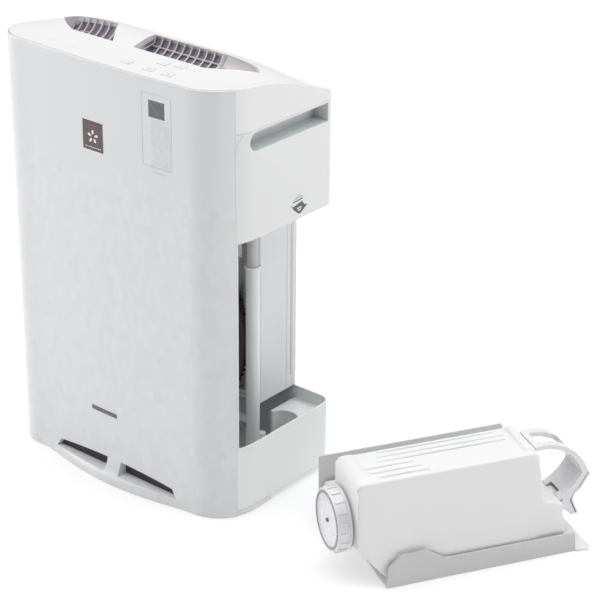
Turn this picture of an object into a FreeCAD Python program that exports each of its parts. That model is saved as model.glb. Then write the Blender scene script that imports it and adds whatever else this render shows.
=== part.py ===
import FreeCAD, Part
import math
import operator
import os
import Sketcher

# Humidifying air purifier, standing on its base, with its water tank taken out
# of the bay in the right side and lying on the floor beside it.
# Frame: origin on the floor under the middle of the cabinet, front towards -Y,
# right side towards +X, up is +Z.  All sizes are in millimetres.
# The tank is drawn in its own frame (along, across, up) and then laid down.

SIZES = {
    # cabinet
    "cabinet_w": 399.0, "cabinet_d": 230.0, "front_top": 606.6, "crown_rise": 6.4,
    "rear_top": 557.0, "front_corner": 62.0, "rear_corner": 18.0, "bow": 3.6,
    "skin": 2.6, "seam": 0.4, "running_gap": 0.3, "panel_back": 77.0,
    "skirt_z": 548.5, "floor_gap": 0.6, "ridge_y": 4.0, "crown_flat": 108.0,
    "side_ridge_z": 593.3, "side_front_z": 606.4,
    # grips
    "grip_low": 520.0, "grip_high": 545.0, "grip_front": 56.0, "grip_deep": 24.0,
    # air outlets
    "outlet_front": 48.5, "outlet_rear": 4.0, "outlet_turn": 116.0, "outlet_tip": 172.5,
    "outlet_tip_y": 7.0, "outlet_rear_turn": 144.0, "right_inner_front": 6.6,
    "right_inner_rear": 16.0, "left_inner_front": 43.0, "left_inner_rear": 83.0,
    "collar_deep": 34.0, "grid_end": 104.0, "grid_pitch": 13.0, "grid_rib": 1.4,
    # keys
    "key_w": 15.0, "key_d": 10.0, "key_gap": 0.4, "key_travel": 1.0, "key_proud": 0.4, "key_slack": 0.1,
    "key_base_z": 599.0, "board_t": 1.6, "switch_h": 3.2,
    # front details
    "plate_left": 36.5, "plate_right": 0.7, "plate_low": 485.0, "plate_high": 526.0,
    "window_left": 81.0, "window_w": 27.0, "window_low": 556.0, "window_h": 23.0,
    "film_left": 70.0, "film_w": 48.0, "film_low": 490.0, "film_h": 97.0,
    "badge_w": 47.0, "badge_h": 6.0, "badge_x": -15.5, "badge_z": 103.0, "inset_t": 0.8,
    "film_gap": 0.03,
    # lower outlet and lip
    "slot_half": 107.0, "slot_low": 14.0, "slot_high": 33.0, "slot_rise": 7.0,
    "divider_w": 25.0, "lip_bow": 15.5, "lip_half": 137.0, "mouth_deep": 26.0,
    # bay
    "bay_low": 104.3, "bay_high": 401.0, "deep_left": 47.0,
    "shelf_wall_x": 134.0, "shelf_front": 37.0, "liner_t": 2.5,
    # tray
    "sill_back": 15.0, "tray_low": 9.2, "tray_t": 2.4, "ledge_z": 85.0,
    "ledge_front": 60.0, "trough_front": 13.0, "trough_back": 60.0, "trough_left": 175.0,
    "base_t": 3.0, "float_x": 166.0, "float_y": 18.0, "float_w": 30.0, "float_h": 22.0,
    "float_low": 12.0, "float_rise": 15.0, "guide_r": 3.0,
    # humidifying wheel
    "wheel_x": -18.0, "wheel_z": 200.0, "wheel_front": 20.0, "wheel_t": 16.0,
    "tooth_module": 3.0, "wheel_teeth": 92.0, "pinion_teeth": 12.0, "wheel_hub": 14.0,
    "axle_r": 4.0, "axle_gap": 0.05, "gear_t": 6.0, "post_x": 133.6, "post_y": 23.5,
    "post_r": 9.5, "post_high": 362.0, "collar_z": 320.0,
    # fan
    "fan_x": -75.0, "fan_z": 300.0, "fan_r": 95.0, "fan_back": 12.0, "fan_w": 58.0,
    "blade_count": 30.0, "shaft_r": 4.0, "scroll_gap": 14.0, "scroll_t": 2.0,
    "inlet_rim": 12.0, "fan_hub_r": 16.0, "fan_hub_l": 28.0, "blade_deep": 16.0,
    "motor_r": 42.0, "motor_l": 20.0, "motor_gap": 6.0, "bracket_t": 5.0,
    "bracket_half": 60.0, "bracket_h": 24.0,
    # electrics
    "lead_x": 150.0, "lead_z": 40.0, "lead_flange_r": 10.0, "lead_pipe_r": 5.8,
    "lead_bore_r": 4.5, "gear_motor_half": 16.0, "gear_motor_l": 24.0,
    "sensor_t": 22.0, "sensor_low": 430.0, "sensor_high": 465.0,
    # filters and rear
    "filter_left": 150.0, "filter_right": 128.0, "filter_low": 108.0, "filter_high": 542.0,
    "hepa_front": 41.0, "hepa_t": 34.0, "carbon_t": 20.0, "panel_t": 8.0,
    # tank
    "tank_x": 451.6, "tank_y": -83.3, "tank_turn": 60.0, "casing_l": 288.0,
    "casing_w": 192.0, "casing_t": 2.6, "flange_t": 2.6, "far_flange_h": 94.0,
    "near_flange_h": 28.0, "bottle_front": 5.0, "bottle_step": 92.0, "bottle_back": 187.0,
    "bottle_high": 151.0, "bottle_low_high": 60.0, "bottle_end": 40.0, "bottle_wall": 2.0,
    "neck_across": 60.0, "neck_up": 80.0, "neck_r": 37.0, "neck_l": 16.0, "cap_r": 41.5,
    "cap_l": 17.0, "cap_t": 2.5, "cap_ribs": 18.0, "valve_r": 3.0,
    "handle_along": 262.0, "handle_up": 56.0, "handle_low": 36.0, "handle_high": 84.0,
    "pin_r": 2.5,
    # small parts
    "screw_head_r": 3.4, "screw_head_t": 1.6, "foot_r": 11.0, "foot_t": 2.0,
    "foot_side": 45.0, "foot_front": 70.0, "foot_rear": 30.0, "base_side": 20.0,
    "base_clear": 2.0, "rail_inset": 4.0, "rail_w": 5.0,
}

doc = FreeCAD.newDocument("HumidifyingAirPurifier")
sheet = doc.addObject("Spreadsheet::Sheet", "Sizes")
for row, (alias, number) in enumerate(SIZES.items(), start=1):
    sheet.set(f"A{row}", alias)
    sheet.set(f"B{row}", str(number))
    sheet.setAlias(f"B{row}", alias)
doc.recompute()


class Dim:
    """A size that carries its number and the sheet expression that it comes from."""

    def __init__(self, number, text=None):
        self.number = float(number)
        self.text = text or f"({float(number)})"

    def __float__(self):
        return self.number

    def __add__(self, other):
        return combine(self, "+", other)

    def __radd__(self, other):
        return combine(other, "+", self)

    def __sub__(self, other):
        return combine(self, "-", other)

    def __rsub__(self, other):
        return combine(other, "-", self)

    def __mul__(self, other):
        return combine(self, "*", other)

    def __rmul__(self, other):
        return combine(other, "*", self)

    def __truediv__(self, other):
        return combine(self, "/", other)

    def __neg__(self):
        return combine(0, "-", self)


SIGNS = {"+": operator.add, "-": operator.sub, "*": operator.mul, "/": operator.truediv}


def dim(value):
    return value if isinstance(value, Dim) else Dim(value)


def combine(left, sign, right):
    left = dim(left)
    right = dim(right)
    number = SIGNS[sign](left.number, right.number)
    return Dim(number, f"({left.text} {sign} {right.text})")


class Sheet:
    """Every alias of the sheet as an attribute."""

    def __getattr__(self, alias):
        return Dim(sheet.get(alias), f"Sizes.{alias}")


S = Sheet()
NODES = []


def V(x, y, z):
    return FreeCAD.Vector(float(x), float(y), float(z))


# ---------------------------------------------------------------- helpers

def bind(obj, field, value):
    obj.setExpression(field, dim(value).text)


def place(obj, x, y, z):
    bind(obj, "Placement.Base.x", x)
    bind(obj, "Placement.Base.y", y)
    bind(obj, "Placement.Base.z", z)
    return obj


def box(x, y, z):
    """Box between pairs of limits along each axis."""
    obj = doc.addObject("Part::Box", "Block")
    bind(obj, "Length", x[1] - dim(x[0]))
    bind(obj, "Width", y[1] - dim(y[0]))
    bind(obj, "Height", z[1] - dim(z[0]))
    return place(obj, x[0], y[0], z[0])


TURNS = {
    "x": FreeCAD.Rotation(FreeCAD.Vector(0, 1, 0), 90),
    "y": FreeCAD.Rotation(FreeCAD.Vector(1, 0, 0), -90),
    "z": FreeCAD.Rotation(),
}


def rod(axis, centre, radius, span):
    """Cylinder along an axis; centre holds the two other coordinates in X, Y, Z order."""
    obj = doc.addObject("Part::Cylinder", "Rod")
    bind(obj, "Radius", radius)
    bind(obj, "Height", span[1] - dim(span[0]))
    obj.Placement = FreeCAD.Placement(FreeCAD.Vector(), TURNS[axis])
    where = list(centre)
    where.insert("xyz".index(axis), span[0])
    return place(obj, *where)


def tube(axis, centre, outer, inner, span):
    return cut(rod(axis, centre, outer, span), rod(axis, centre, inner, span))


def joined(kind, name, shapes):
    obj = doc.addObject(kind, name)
    obj.Shapes = list(shapes)
    return obj


def fuse(*shapes):
    if len(shapes) == 1:
        return shapes[0]
    obj = joined("Part::MultiFuse", "Union", shapes)
    obj.Refine = True
    return obj


def group(*shapes):
    """Separate solids kept as one object."""
    obj = doc.addObject("Part::Compound", "Group")
    obj.Links = list(shapes)
    return obj


def cut(base, *tools):
    obj = doc.addObject("Part::Cut", "Cut")
    obj.Base = base
    obj.Tool = tools[0] if len(tools) == 1 else group(*tools)
    return obj


def common(*shapes):
    return joined("Part::MultiCommon", "Common", shapes)


def solid(shape, name="Form"):
    """Part::Feature for a form that primitives and sketches don't give."""
    obj = doc.addObject("Part::Feature", name)
    obj.Shape = shape
    return obj


def round_edges(base, radius, chosen):
    """Fillet on the edges of base that chosen(edge) picks."""
    doc.recompute()
    edges = [n for n, edge in enumerate(base.Shape.Edges, start=1) if chosen(edge)]
    obj = doc.addObject("Part::Fillet", "Rounded")
    obj.Base = base
    obj.Edges = [(n, float(radius), float(radius)) for n in edges]
    return obj


def runs_along(edge, axis):
    """True for a straight edge parallel to the axis given by its index."""
    if not isinstance(edge.Curve, Part.Line):
        return False
    return abs(edge.Curve.Direction[axis]) > 0.999


def outline(plane, points, low, high):
    """Body padded from low to high along the normal of a plane through the corners given.

    Corners are (x, y) on XY, (x, z) on XZ and (y, z) on YZ.
    """
    body = doc.addObject("PartDesign::Body", "Plate")
    sketch = body.newObject("Sketcher::SketchObject", "Outline")
    support = [f for f in body.Origin.OriginFeatures if f.Role == plane + "_Plane"][0]
    sketch.AttachmentSupport = [(support, "")]
    sketch.MapMode = "FlatFace"
    bind(sketch, "AttachmentOffset.Base.z", -dim(high) if plane == "XZ" else low)
    corners = [(dim(a), dim(b)) for a, b in points]
    count = len(corners)
    for here in range(count):
        (a, b), (c, d) = corners[here], corners[(here + 1) % count]
        sketch.addGeometry(Part.LineSegment(V(a, b, 0), V(c, d, 0)))
    for here in range(count):
        sketch.addConstraint(Sketcher.Constraint("Coincident", here, 2, (here + 1) % count, 1))
    for here, corner in enumerate(corners):
        for kind, value in zip(("DistanceX", "DistanceY"), corner):
            index = sketch.addConstraint(
                Sketcher.Constraint(kind, -1, 1, here, 1, value.number))
            sketch.setExpression(f"Constraints[{index}]", value.text)
    pad = body.newObject("PartDesign::Pad", "Pad")
    pad.Profile = sketch
    bind(pad, "Length", high - dim(low))
    body.Tip = pad
    return body


def prism(points, low, high, plane="XY"):
    """Solid between two heights on a closed line of points and three-point arcs.

    An entry is a corner (a, b), or ((a, b), "arc") for the middle point of an arc.
    """
    spot = {"XY": lambda a, b: V(a, b, low), "XZ": lambda a, b: V(a, low, b),
            "YZ": lambda a, b: V(low, a, b)}[plane]
    push = {"XY": V(0, 0, high - dim(low)), "XZ": V(0, high - dim(low), 0),
            "YZ": V(high - dim(low), 0, 0)}[plane]
    closed = points + points[:1]
    edges = []
    start = spot(*closed[0])
    middle = None
    for entry in closed[1:]:
        if entry[1] == "arc":
            middle = spot(*entry[0])
            continue
        end = spot(*entry)
        if middle is None:
            edges.append(Part.LineSegment(start, end).toShape())
        else:
            edges.append(Part.Arc(start, middle, end).toShape())
        start = end
        middle = None
    return Part.Face(Part.Wire(edges)).extrude(push)


def keep(obj, name):
    """Name a finished sub-part: its label is its node name."""
    obj.Label = name
    NODES.append(obj)
    return obj


# ---------------------------------------------------------------- shared forms

HALF_W = S.cabinet_w / 2
HALF_D = S.cabinet_d / 2
FLAT_HALF = HALF_W - S.front_corner
BOW_R = (FLAT_HALF * FLAT_HALF + S.bow * S.bow) / (2 * S.bow)
CABINET_H = S.front_top + S.crown_rise


def plan_block(inset, low, high):
    """Upright block on the cabinet's plan: bowed front, large front corners."""
    inset = dim(inset)
    block = box((inset - HALF_W, HALF_W - inset), (inset - HALF_D, HALF_D - inset),
                (low, high))
    bow = rod("z", (0, BOW_R - HALF_D), BOW_R - inset, (low, high))
    bowed = common(block, bow)

    def front_upright(edge):
        return runs_along(edge, 2) and edge.CenterOfMass.y < 0

    def rear_upright(edge):
        return runs_along(edge, 2) and edge.CenterOfMass.y > float(HALF_D) / 2

    fronted = round_edges(bowed, S.front_corner - inset, front_upright)
    return round_edges(fronted, S.rear_corner - inset, rear_upright)


def crown_block(drop):
    """Block under the crowned top, from the floor up; drop lowers the whole top."""
    front = float(-HALF_D) - 30
    back = float(HALF_D) + 10
    ridge = float(S.ridge_y)
    middle = [(front, float(S.front_top) - 1.5), (float(-HALF_D), float(S.front_top)),
              (-50, float(CABINET_H) - 2.2), (ridge, float(CABINET_H)),
              (float(HALF_D) / 2, float(S.rear_top) + 34.0),
              (float(HALF_D), float(S.rear_top)), (back, float(S.rear_top) - 4.5)]
    side = [(front, float(S.side_front_z) + 1.0), (float(-HALF_D), float(S.side_front_z) + 0.8),
            (-50, float(S.side_front_z) - 2.2), (ridge, float(S.side_ridge_z)),
            (float(HALF_D) / 2, float(S.rear_top) + 19.6),
            (float(HALF_D), float(S.rear_top)), (back, float(S.rear_top) - 3.4)]
    reach = float(HALF_W) + 4
    flat = float(S.crown_flat)
    sections = [(-reach, side), (-flat, middle), (0, middle), (flat, middle), (reach, side)]
    wires = []
    for x, profile in sections:
        points = [V(x, y, z - float(drop)) for y, z in profile]
        curve = Part.BSplineCurve()
        curve.interpolate(points)
        low_front = V(x, front, -5)
        low_back = V(x, back, -5)
        wires.append(Part.Wire([
            curve.toShape(),
            Part.LineSegment(points[-1], low_back).toShape(),
            Part.LineSegment(low_back, low_front).toShape(),
            Part.LineSegment(low_front, points[0]).toShape()]))
    return solid(Part.makeLoft(wires, True, False), "Crown")


TALL = CABINET_H + 20
CROWN = crown_block(0)
CROWN_UNDER = crown_block(S.skin)
CROWN_PROUD = crown_block(-S.key_proud)
PLAN = plan_block(0, 0, TALL)
PLAN_IN = plan_block(S.skin, -1, TALL + 1)
PLAN_NEXT = plan_block(S.skin + S.seam, 0, TALL)
PLAN_NEXT_IN = plan_block(2 * S.skin + S.seam, -1, TALL + 1)


def outlet_points(side, grow=0):
    """Plan outline of an air outlet; side is +1 for the right one, -1 for the left."""
    inner_front = -float(S.right_inner_front) if side > 0 else float(S.left_inner_front)
    inner_rear = -float(S.right_inner_rear) if side > 0 else float(S.left_inner_rear)
    turn = float(S.outlet_turn)
    tip = float(S.outlet_tip)
    front = -float(S.outlet_front)
    rear = float(S.outlet_rear)
    tip_y = -float(S.outlet_tip_y)
    shape = [
        (inner_front - grow, front - grow), (turn, front - grow),
        ((turn + 0.58 * (tip - turn) + grow * 0.6, front + 0.45 * (tip_y - front) - grow * 0.8),
         "arc"),
        (tip + grow, tip_y - 1), ((tip + grow * 0.7 - 6, (tip_y + rear) / 2 + grow * 0.8), "arc"),
        (float(S.outlet_rear_turn), rear + grow), (inner_rear - grow, rear + grow)]
    flipped = []
    for entry in shape:
        if entry[1] == "arc":
            flipped.append(((side * entry[0][0], entry[0][1]), "arc"))
        else:
            flipped.append((side * entry[0], entry[1]))
    return flipped


def key_places():
    """Plan centres of the five touch keys on the control strip."""
    return {"power_key": (22, -89), "mode_key": (62, -91), "fan_speed_key": (94, -90),
            "humidify_key": (64, -66), "light_key": (90, -62)}


# ---------------------------------------------------------------- cabinet shells

def make_front_panel():
    panel = common(cut(PLAN, PLAN_IN), CROWN,
                   box((-HALF_W - 1, HALF_W + 1), (-HALF_D - 1, -S.panel_back),
                       (S.floor_gap, TALL)))
    half = S.slot_half
    mouth = solid(prism(
        [(-S.lip_half, -1), (-half - 14, 8), (-half, S.slot_high - S.slot_rise),
         ((0, S.slot_high), "arc"), (half, S.slot_high - S.slot_rise), (half + 14, 8),
         (S.lip_half, -1)], -HALF_D - 5, -HALF_D + 30, "XZ"), "Mouth")
    plate = front_patch(-S.plate_left, S.plate_right, S.plate_low, S.plate_high, S.inset_t, 1)
    window = front_patch(S.window_left, S.window_left + S.window_w, S.window_low,
                         S.window_low + S.window_h, S.inset_t, 1)
    return keep(cut(panel, mouth, plate, window), "front_panel")


def front_patch(left, right, low, high, deep, proud):
    """Piece of the front skin between depths deep and -proud, over a rectangle."""
    slab = cut(plan_block(-dim(proud), 0, TALL), plan_block(deep, -1, TALL + 1))
    return common(slab, box((left, right), (-HALF_D - 5, -HALF_D + 20), (low, high)))


def make_front_trim():
    keep(front_patch(-S.plate_left + S.seam / 2, S.plate_right - S.seam / 2,
                     S.plate_low + S.seam / 2, S.plate_high - S.seam / 2, S.inset_t, 0),
         "indicator_plate")
    keep(front_patch(S.window_left + S.seam / 2, S.window_left + S.window_w - S.seam / 2,
                     S.window_low + S.seam / 2, S.window_low + S.window_h - S.seam / 2,
                     S.inset_t, 0), "display_window")
    film = front_patch(S.film_left, S.film_left + S.film_w, S.film_low,
                       S.film_low + S.film_h, -S.film_gap, 0.25)
    keep(cut(film, box((S.window_left - 1, S.window_left + S.window_w + 1),
                       (-HALF_D - 5, 0), (S.window_low - 1, S.window_low + S.window_h + 1))),
         "label_film")
    keep(front_patch(S.badge_x - S.badge_w / 2, S.badge_x + S.badge_w / 2,
                     S.badge_z - S.badge_h / 2, S.badge_z + S.badge_h / 2, -S.film_gap, 0.6),
         "badge")


def make_top_cover():
    seam_y = S.seam - S.panel_back
    behind = box((-HALF_W - 1, HALF_W + 1), (seam_y, HALF_D + 1), (S.skirt_z, TALL))
    ahead = box((-HALF_W, HALF_W), (-HALF_D, seam_y + 6), (S.skirt_z, TALL))
    outer = fuse(common(PLAN, CROWN, behind), common(PLAN_NEXT, CROWN, ahead))
    room_behind = common(PLAN_IN, CROWN_UNDER,
                         box((-HALF_W, HALF_W), (seam_y + S.skin, HALF_D), (0, TALL)))
    room = common(PLAN_NEXT_IN, CROWN_UNDER)
    cover = cut(outer, room_behind, room)
    collars = []
    holes = []
    for side in (1, -1):
        low = CABINET_H - S.collar_deep
        collars.append(solid(prism(outlet_points(side, float(S.skin)), low, TALL), "Collar"))
        holes.append(solid(prism(outlet_points(side), low - 2, TALL + 2), "Hole"))
    under = S.key_base_z - S.switch_h
    posts = [rod("z", (x, y), 3, (under, TALL)) for x in (-4, 114) for y in (-98, -57)]
    walls = common(fuse(*collars, *posts), CROWN)
    for x, y in key_places().values():
        holes.append(box((x - S.key_w / 2 - S.key_gap, x + S.key_w / 2 + S.key_gap),
                         (y - S.key_d / 2 - S.key_gap, y + S.key_d / 2 + S.key_gap),
                         (S.key_base_z - 1, TALL)))
    keep(cut(fuse(cover, walls), *holes), "top_cover")


def make_keys():
    for name, (x, y) in key_places().items():
        blank = box((x - S.key_w / 2, x + S.key_w / 2), (y - S.key_d / 2, y + S.key_d / 2),
                    (S.key_base_z + S.key_travel + 0.3 + S.key_slack, TALL))
        rounded = round_edges(blank, 2.0, lambda edge: runs_along(edge, 2))
        keep(common(rounded, CROWN_PROUD), name)


def make_outlet_grilles():
    """Concave grids that close the outlets: hooked ribs joined by long rods."""
    top = CABINET_H - 3.5
    back = S.outlet_rear - S.seam
    front = S.seam - S.outlet_front
    low = CABINET_H - S.collar_deep + 4
    thick = 3.0
    for side, name in ((1, "right_outlet_grille"), (-1, "left_outlet_grille")):
        start = -S.right_inner_rear if side > 0 else S.left_inner_front
        ribs = []
        x = float(start)
        while x < float(S.grid_end):
            left = x if side > 0 else -x - float(S.grid_rib)
            hook = prism(
                [(back, top), ((back - 13, low + 10), "arc"), (front, low + 6),
                 (front, low + 6 - thick),
                 ((back - 13 + thick, low + 10 - thick), "arc"), (back, top - 9)],
                left, left + float(S.grid_rib), "YZ")
            ribs.append(solid(hook, "Rib"))
            x += float(S.grid_pitch)
        end = x - float(S.grid_pitch) + float(S.grid_rib)
        low_x, high_x = (float(start), end) if side > 0 else (-end, -float(start))
        bars = [((back - 2.2), (top - 6.2)), (back - 11.6, low + 11.2), (front + 1.6, low + 4.6)]
        for y, z in bars:
            ribs.append(rod("x", (y, z), 1.3, (low_x, high_x)))
        opening = solid(prism(outlet_points(side, -float(S.running_gap)), 500, TALL), "Opening")
        keep(common(fuse(*ribs), opening), name)


def make_side_panel():
    """Left side wall, from the floor to the top cover's skirt, round the rear corner."""
    wall = common(cut(PLAN, PLAN_IN),
                  box((-HALF_W - 1, -HALF_W + S.rear_corner + 4),
                      (S.seam - S.panel_back, HALF_D + 1), (S.floor_gap, S.skirt_z - S.seam)))
    return keep(cut(wall, grip_room(-1)), "left_side_panel")


def make_side_cover():
    """Right side cover above the tank bay."""
    wall = common(cut(PLAN, PLAN_IN),
                  box((S.shelf_wall_x, HALF_W + 1), (S.seam - S.panel_back, HALF_D + 1),
                      (S.bay_high, S.skirt_z - S.seam)))
    keep(cut(wall, grip_room(1)), "right_side_cover")


def side_box(side, near, far, y, z):
    """Box between two distances from the middle plane, on the right (+1) or left (-1)."""
    return box((near, far) if side > 0 else (-dim(far), -dim(near)), y, z)


def grip_room(side):
    """Room for the fingers: rounded at its front end, open at the rear corner."""
    half = (S.grip_high - S.grip_low) / 2
    middle = S.grip_low + half
    long = side_box(side, HALF_W - S.grip_deep, HALF_W + 2,
                    (-S.grip_front + half, HALF_D - S.rear_corner), (S.grip_low, S.grip_high))
    near = HALF_W - S.grip_deep if side > 0 else -HALF_W - 2
    end = rod("x", (-S.grip_front + half, middle), half, (near, near + S.grip_deep + 2))
    return fuse(long, end)


def make_grips():
    """Cups behind the grip holes; returns the block that each one takes up."""
    blocks = []
    for side, name in ((1, "right_grip_cup"), (-1, "left_grip_cup")):
        t = S.liner_t
        half = (S.grip_high - S.grip_low) / 2
        shell = side_box(side, HALF_W - S.grip_deep - t, HALF_W - S.skin,
                         (-S.grip_front - t, HALF_D - S.rear_corner + t),
                         (S.grip_low - t, S.grip_high + t))
        room = side_box(side, HALF_W - S.grip_deep, HALF_W + 1,
                        (-S.grip_front + half, HALF_D - S.rear_corner),
                        (S.grip_low, S.grip_high))
        near = HALF_W - S.grip_deep if side > 0 else -HALF_W - 1
        end = rod("x", (-S.grip_front + half, S.grip_low + half), half,
                  (near, near + S.grip_deep + 1))
        keep(cut(common(shell, PLAN_IN), room, end), name)
        blocks.append(side_box(side, HALF_W - S.grip_deep - t, HALF_W + 1,
                               (-S.grip_front - t, HALF_D - S.rear_corner + t),
                               (S.grip_low - t, S.grip_high + t)))
    return blocks


# ---------------------------------------------------------------- base and lower outlet

def make_base():
    side = HALF_W - S.base_side
    floor = fuse(box((-HALF_W, side), (-HALF_D, HALF_D), (0, S.base_t)),
                 box((0, HALF_W), (-HALF_D, -S.sill_back - S.base_clear), (0, S.base_t)))
    plate = common(floor, PLAN_NEXT)
    rail_end = side - S.rail_inset
    rail_z = (S.base_t, S.tray_low - S.running_gap)
    wide = S.rail_w
    rails = [box((-S.trough_left, rail_end), (y, y + wide), rail_z)
             for y in (S.trough_front + S.rail_inset, S.trough_back - S.rail_inset - wide)]
    rails.append(box((S.deep_left + 2 * S.rail_inset, rail_end),
                     (HALF_D - 4 * wide, HALF_D - 3 * wide), rail_z))
    pockets = [rod("z", spot, S.foot_r + S.seam, (-1, S.foot_t)) for spot in foot_spots()]
    keep(cut(fuse(plate, *rails), *pockets), "base_pan")
    feet = [rod("z", spot, S.foot_r, (0, S.foot_t)) for spot in foot_spots()]
    keep(group(*feet), "rubber_feet")


def foot_spots():
    wide = HALF_W - S.foot_side
    return [(x, y) for y in (S.foot_front - HALF_D, HALF_D - S.foot_rear)
            for x in (-wide, wide)]


def make_lower_outlet(panel):
    """Crescent lip, dark mesh and mouth of the lower outlet."""
    mesh_y = -HALF_D + 8
    lip_r = (S.lip_half * S.lip_half + (S.lip_bow + 3.0) * (S.lip_bow + 3.0)) / (
        2 * (S.lip_bow + 3.0))
    front = -HALF_D - S.lip_bow + 0.5
    wide = S.lip_half
    crescent = common(
        rod("z", (0, front + lip_r), lip_r, (S.floor_gap, S.slot_low)),
        box((-wide, wide), (front - 1, mesh_y - S.seam), (S.floor_gap, S.slot_low)))
    clear = cut(crescent, panel, plan_block(S.skin, 0, S.base_t + S.running_gap))
    divider = box((-S.divider_w / 2, S.divider_w / 2), (mesh_y - 4.6, mesh_y),
                  (S.slot_low - 1, S.slot_high + 5))
    keep(fuse(clear, divider), "lower_lip")
    t = S.liner_t
    back = mesh_y + 2
    mouth = cut(box((-S.slot_half - 4, S.slot_half + 4), (back, back + S.mouth_deep),
                    (S.slot_low - 4, S.slot_high + 8)),
                box((-S.slot_half - 4 + t, S.slot_half + 4 - t), (back - 1, back + S.mouth_deep),
                    (S.slot_low - 4 + t, S.slot_high + 8 - t)))
    keep(fuse(mouth, box((-S.slot_half, S.slot_half), (back + 6, back + 12),
                         (S.base_t, S.slot_low - 3))), "lower_mouth")
    plate = box((-S.slot_half - 3, S.slot_half + 3), (mesh_y, mesh_y + 2),
                (S.slot_low - 3, S.slot_high + 6))
    slots = []
    count = 26
    pitch = float(2 * S.slot_half) / count
    for step in range(count):
        left = -float(S.slot_half) + step * pitch + 1.2
        slots.append(box((left, left + pitch - 2.4), (mesh_y - 1, mesh_y + 3),
                         (S.slot_low + 1, S.slot_high + 3)))
    keep(cut(plate, *slots), "lower_mesh")


# ---------------------------------------------------------------- bay and inner frame

def make_bay(side_panel):
    t = S.liner_t
    right = HALF_W - S.skin - S.seam
    front = -S.panel_back + S.seam
    low = S.bay_low + S.running_gap
    top = S.bay_high
    pieces = [
        box((S.deep_left - t, HALF_W), (front, front + t), (low, top)),
        box((S.deep_left - t, right), (front, front + t), (top - 1, top + t)),
        box((S.deep_left - t, S.deep_left), (front, S.trough_front - 1), (S.bay_low, top + t)),
        box((S.deep_left - t, right), (front, S.trough_front - 1), (top, top + t)),
        box((S.shelf_wall_x, right), (S.trough_front - 2, HALF_D - S.skin - S.seam),
            (top, top + t)),
    ]
    corner = plan_block(S.skin + S.seam, 0, TALL)
    liner = fuse(*pieces)
    flush = fuse(corner, common(PLAN, box((0, HALF_W), (front, front + t), (low, top))))
    keep(common(liner, flush), "bay_liner")
    wall = box((S.shelf_wall_x - t, S.shelf_wall_x), (S.shelf_front, HALF_D - S.panel_t - 1),
               (S.bay_low + 1, top + t))
    groove = box((S.shelf_wall_x - 1.2, S.shelf_wall_x + 1),
                 (HALF_D - S.panel_t - 6, HALF_D - S.panel_t - 3), (124, 353))
    keep(cut(wall, groove), "inner_wall")
    under = S.tray_low - S.running_gap
    step = common(PLAN, box((S.deep_left - t, HALF_W), (front, -S.sill_back),
                            (S.base_t, under)))
    hollow = box((S.deep_left, HALF_W - S.front_corner / 2),
                 (front + t, -S.sill_back - t), (S.base_t - 1, under - t))
    keep(cut(step, hollow), "bay_sill")
    left = -HALF_W + S.skin + S.seam
    back = HALF_D - S.skin - S.seam
    block = common(PLAN, box((left, S.deep_left - S.seam), (S.trough_back + 2, HALF_D),
                             (S.base_t, S.bay_low)))
    room = box((left + t, S.deep_left - S.seam - t), (S.trough_back + 2 + t, back - 1),
               (S.base_t - 1, S.bay_low - t))
    lead = (-S.lead_x, S.lead_z)
    hole = rod("y", lead, S.lead_pipe_r + S.seam / 2, (back - 5, HALF_D + 1))
    keep(cut(block, side_panel, room, hole), "rear_sill")
    keep(fuse(tube("y", lead, S.lead_flange_r, S.lead_bore_r, (HALF_D, HALF_D + 3)),
              tube("y", lead, S.lead_pipe_r, S.lead_bore_r, (back - 6, HALF_D + 1))),
         "power_inlet")


def make_frame(grip_blocks):
    """Bulkhead behind the fan, and the frame that holds the filters."""
    t = S.liner_t
    left = -HALF_W + S.skin + S.seam
    right = HALF_W - S.skin - S.seam
    high = S.skirt_z - 1
    y = (S.trough_front - 4, S.trough_front - 4 + t)
    plate = fuse(
        box((left, S.deep_left - t - S.seam), y, (S.base_t, high)),
        box((left, right), y, (S.bay_high + t + S.seam, high)))
    keep(cut(plate, rod("y", (S.fan_x, S.fan_z), S.fan_r - S.inlet_rim, (0, 40)),
             *grip_blocks), "fan_bulkhead")
    filter_room = box((-S.filter_left - S.seam, S.filter_right + S.seam), (0, HALF_D),
                      (S.filter_low - S.running_gap, S.filter_high + S.seam))
    ring = box((left, S.shelf_wall_x - t - S.seam), (S.shelf_front + 1, S.shelf_front + 3.5),
               (S.bay_low + S.seam, high))
    side_rails = [
        box((-S.filter_left - 4, -S.filter_left - 1),
            (S.shelf_front + 1, HALF_D - S.panel_t - 1), (S.bay_low + S.seam, high)),
        box((-S.filter_left - 4, S.shelf_wall_x - t - S.seam),
            (S.shelf_front + 1, HALF_D - S.panel_t - 1), (S.filter_high + 1, S.filter_high + 4))]
    reach = S.gear_motor_half + S.running_gap
    motor_room = box((PINION_X - reach, PINION_X + reach), (0, S.shelf_front + 10),
                     (S.wheel_z - reach, S.wheel_z + reach))
    keep(cut(fuse(ring, *side_rails), filter_room, motor_room, *grip_blocks), "filter_frame")


# ---------------------------------------------------------------- fan and electrics

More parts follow.
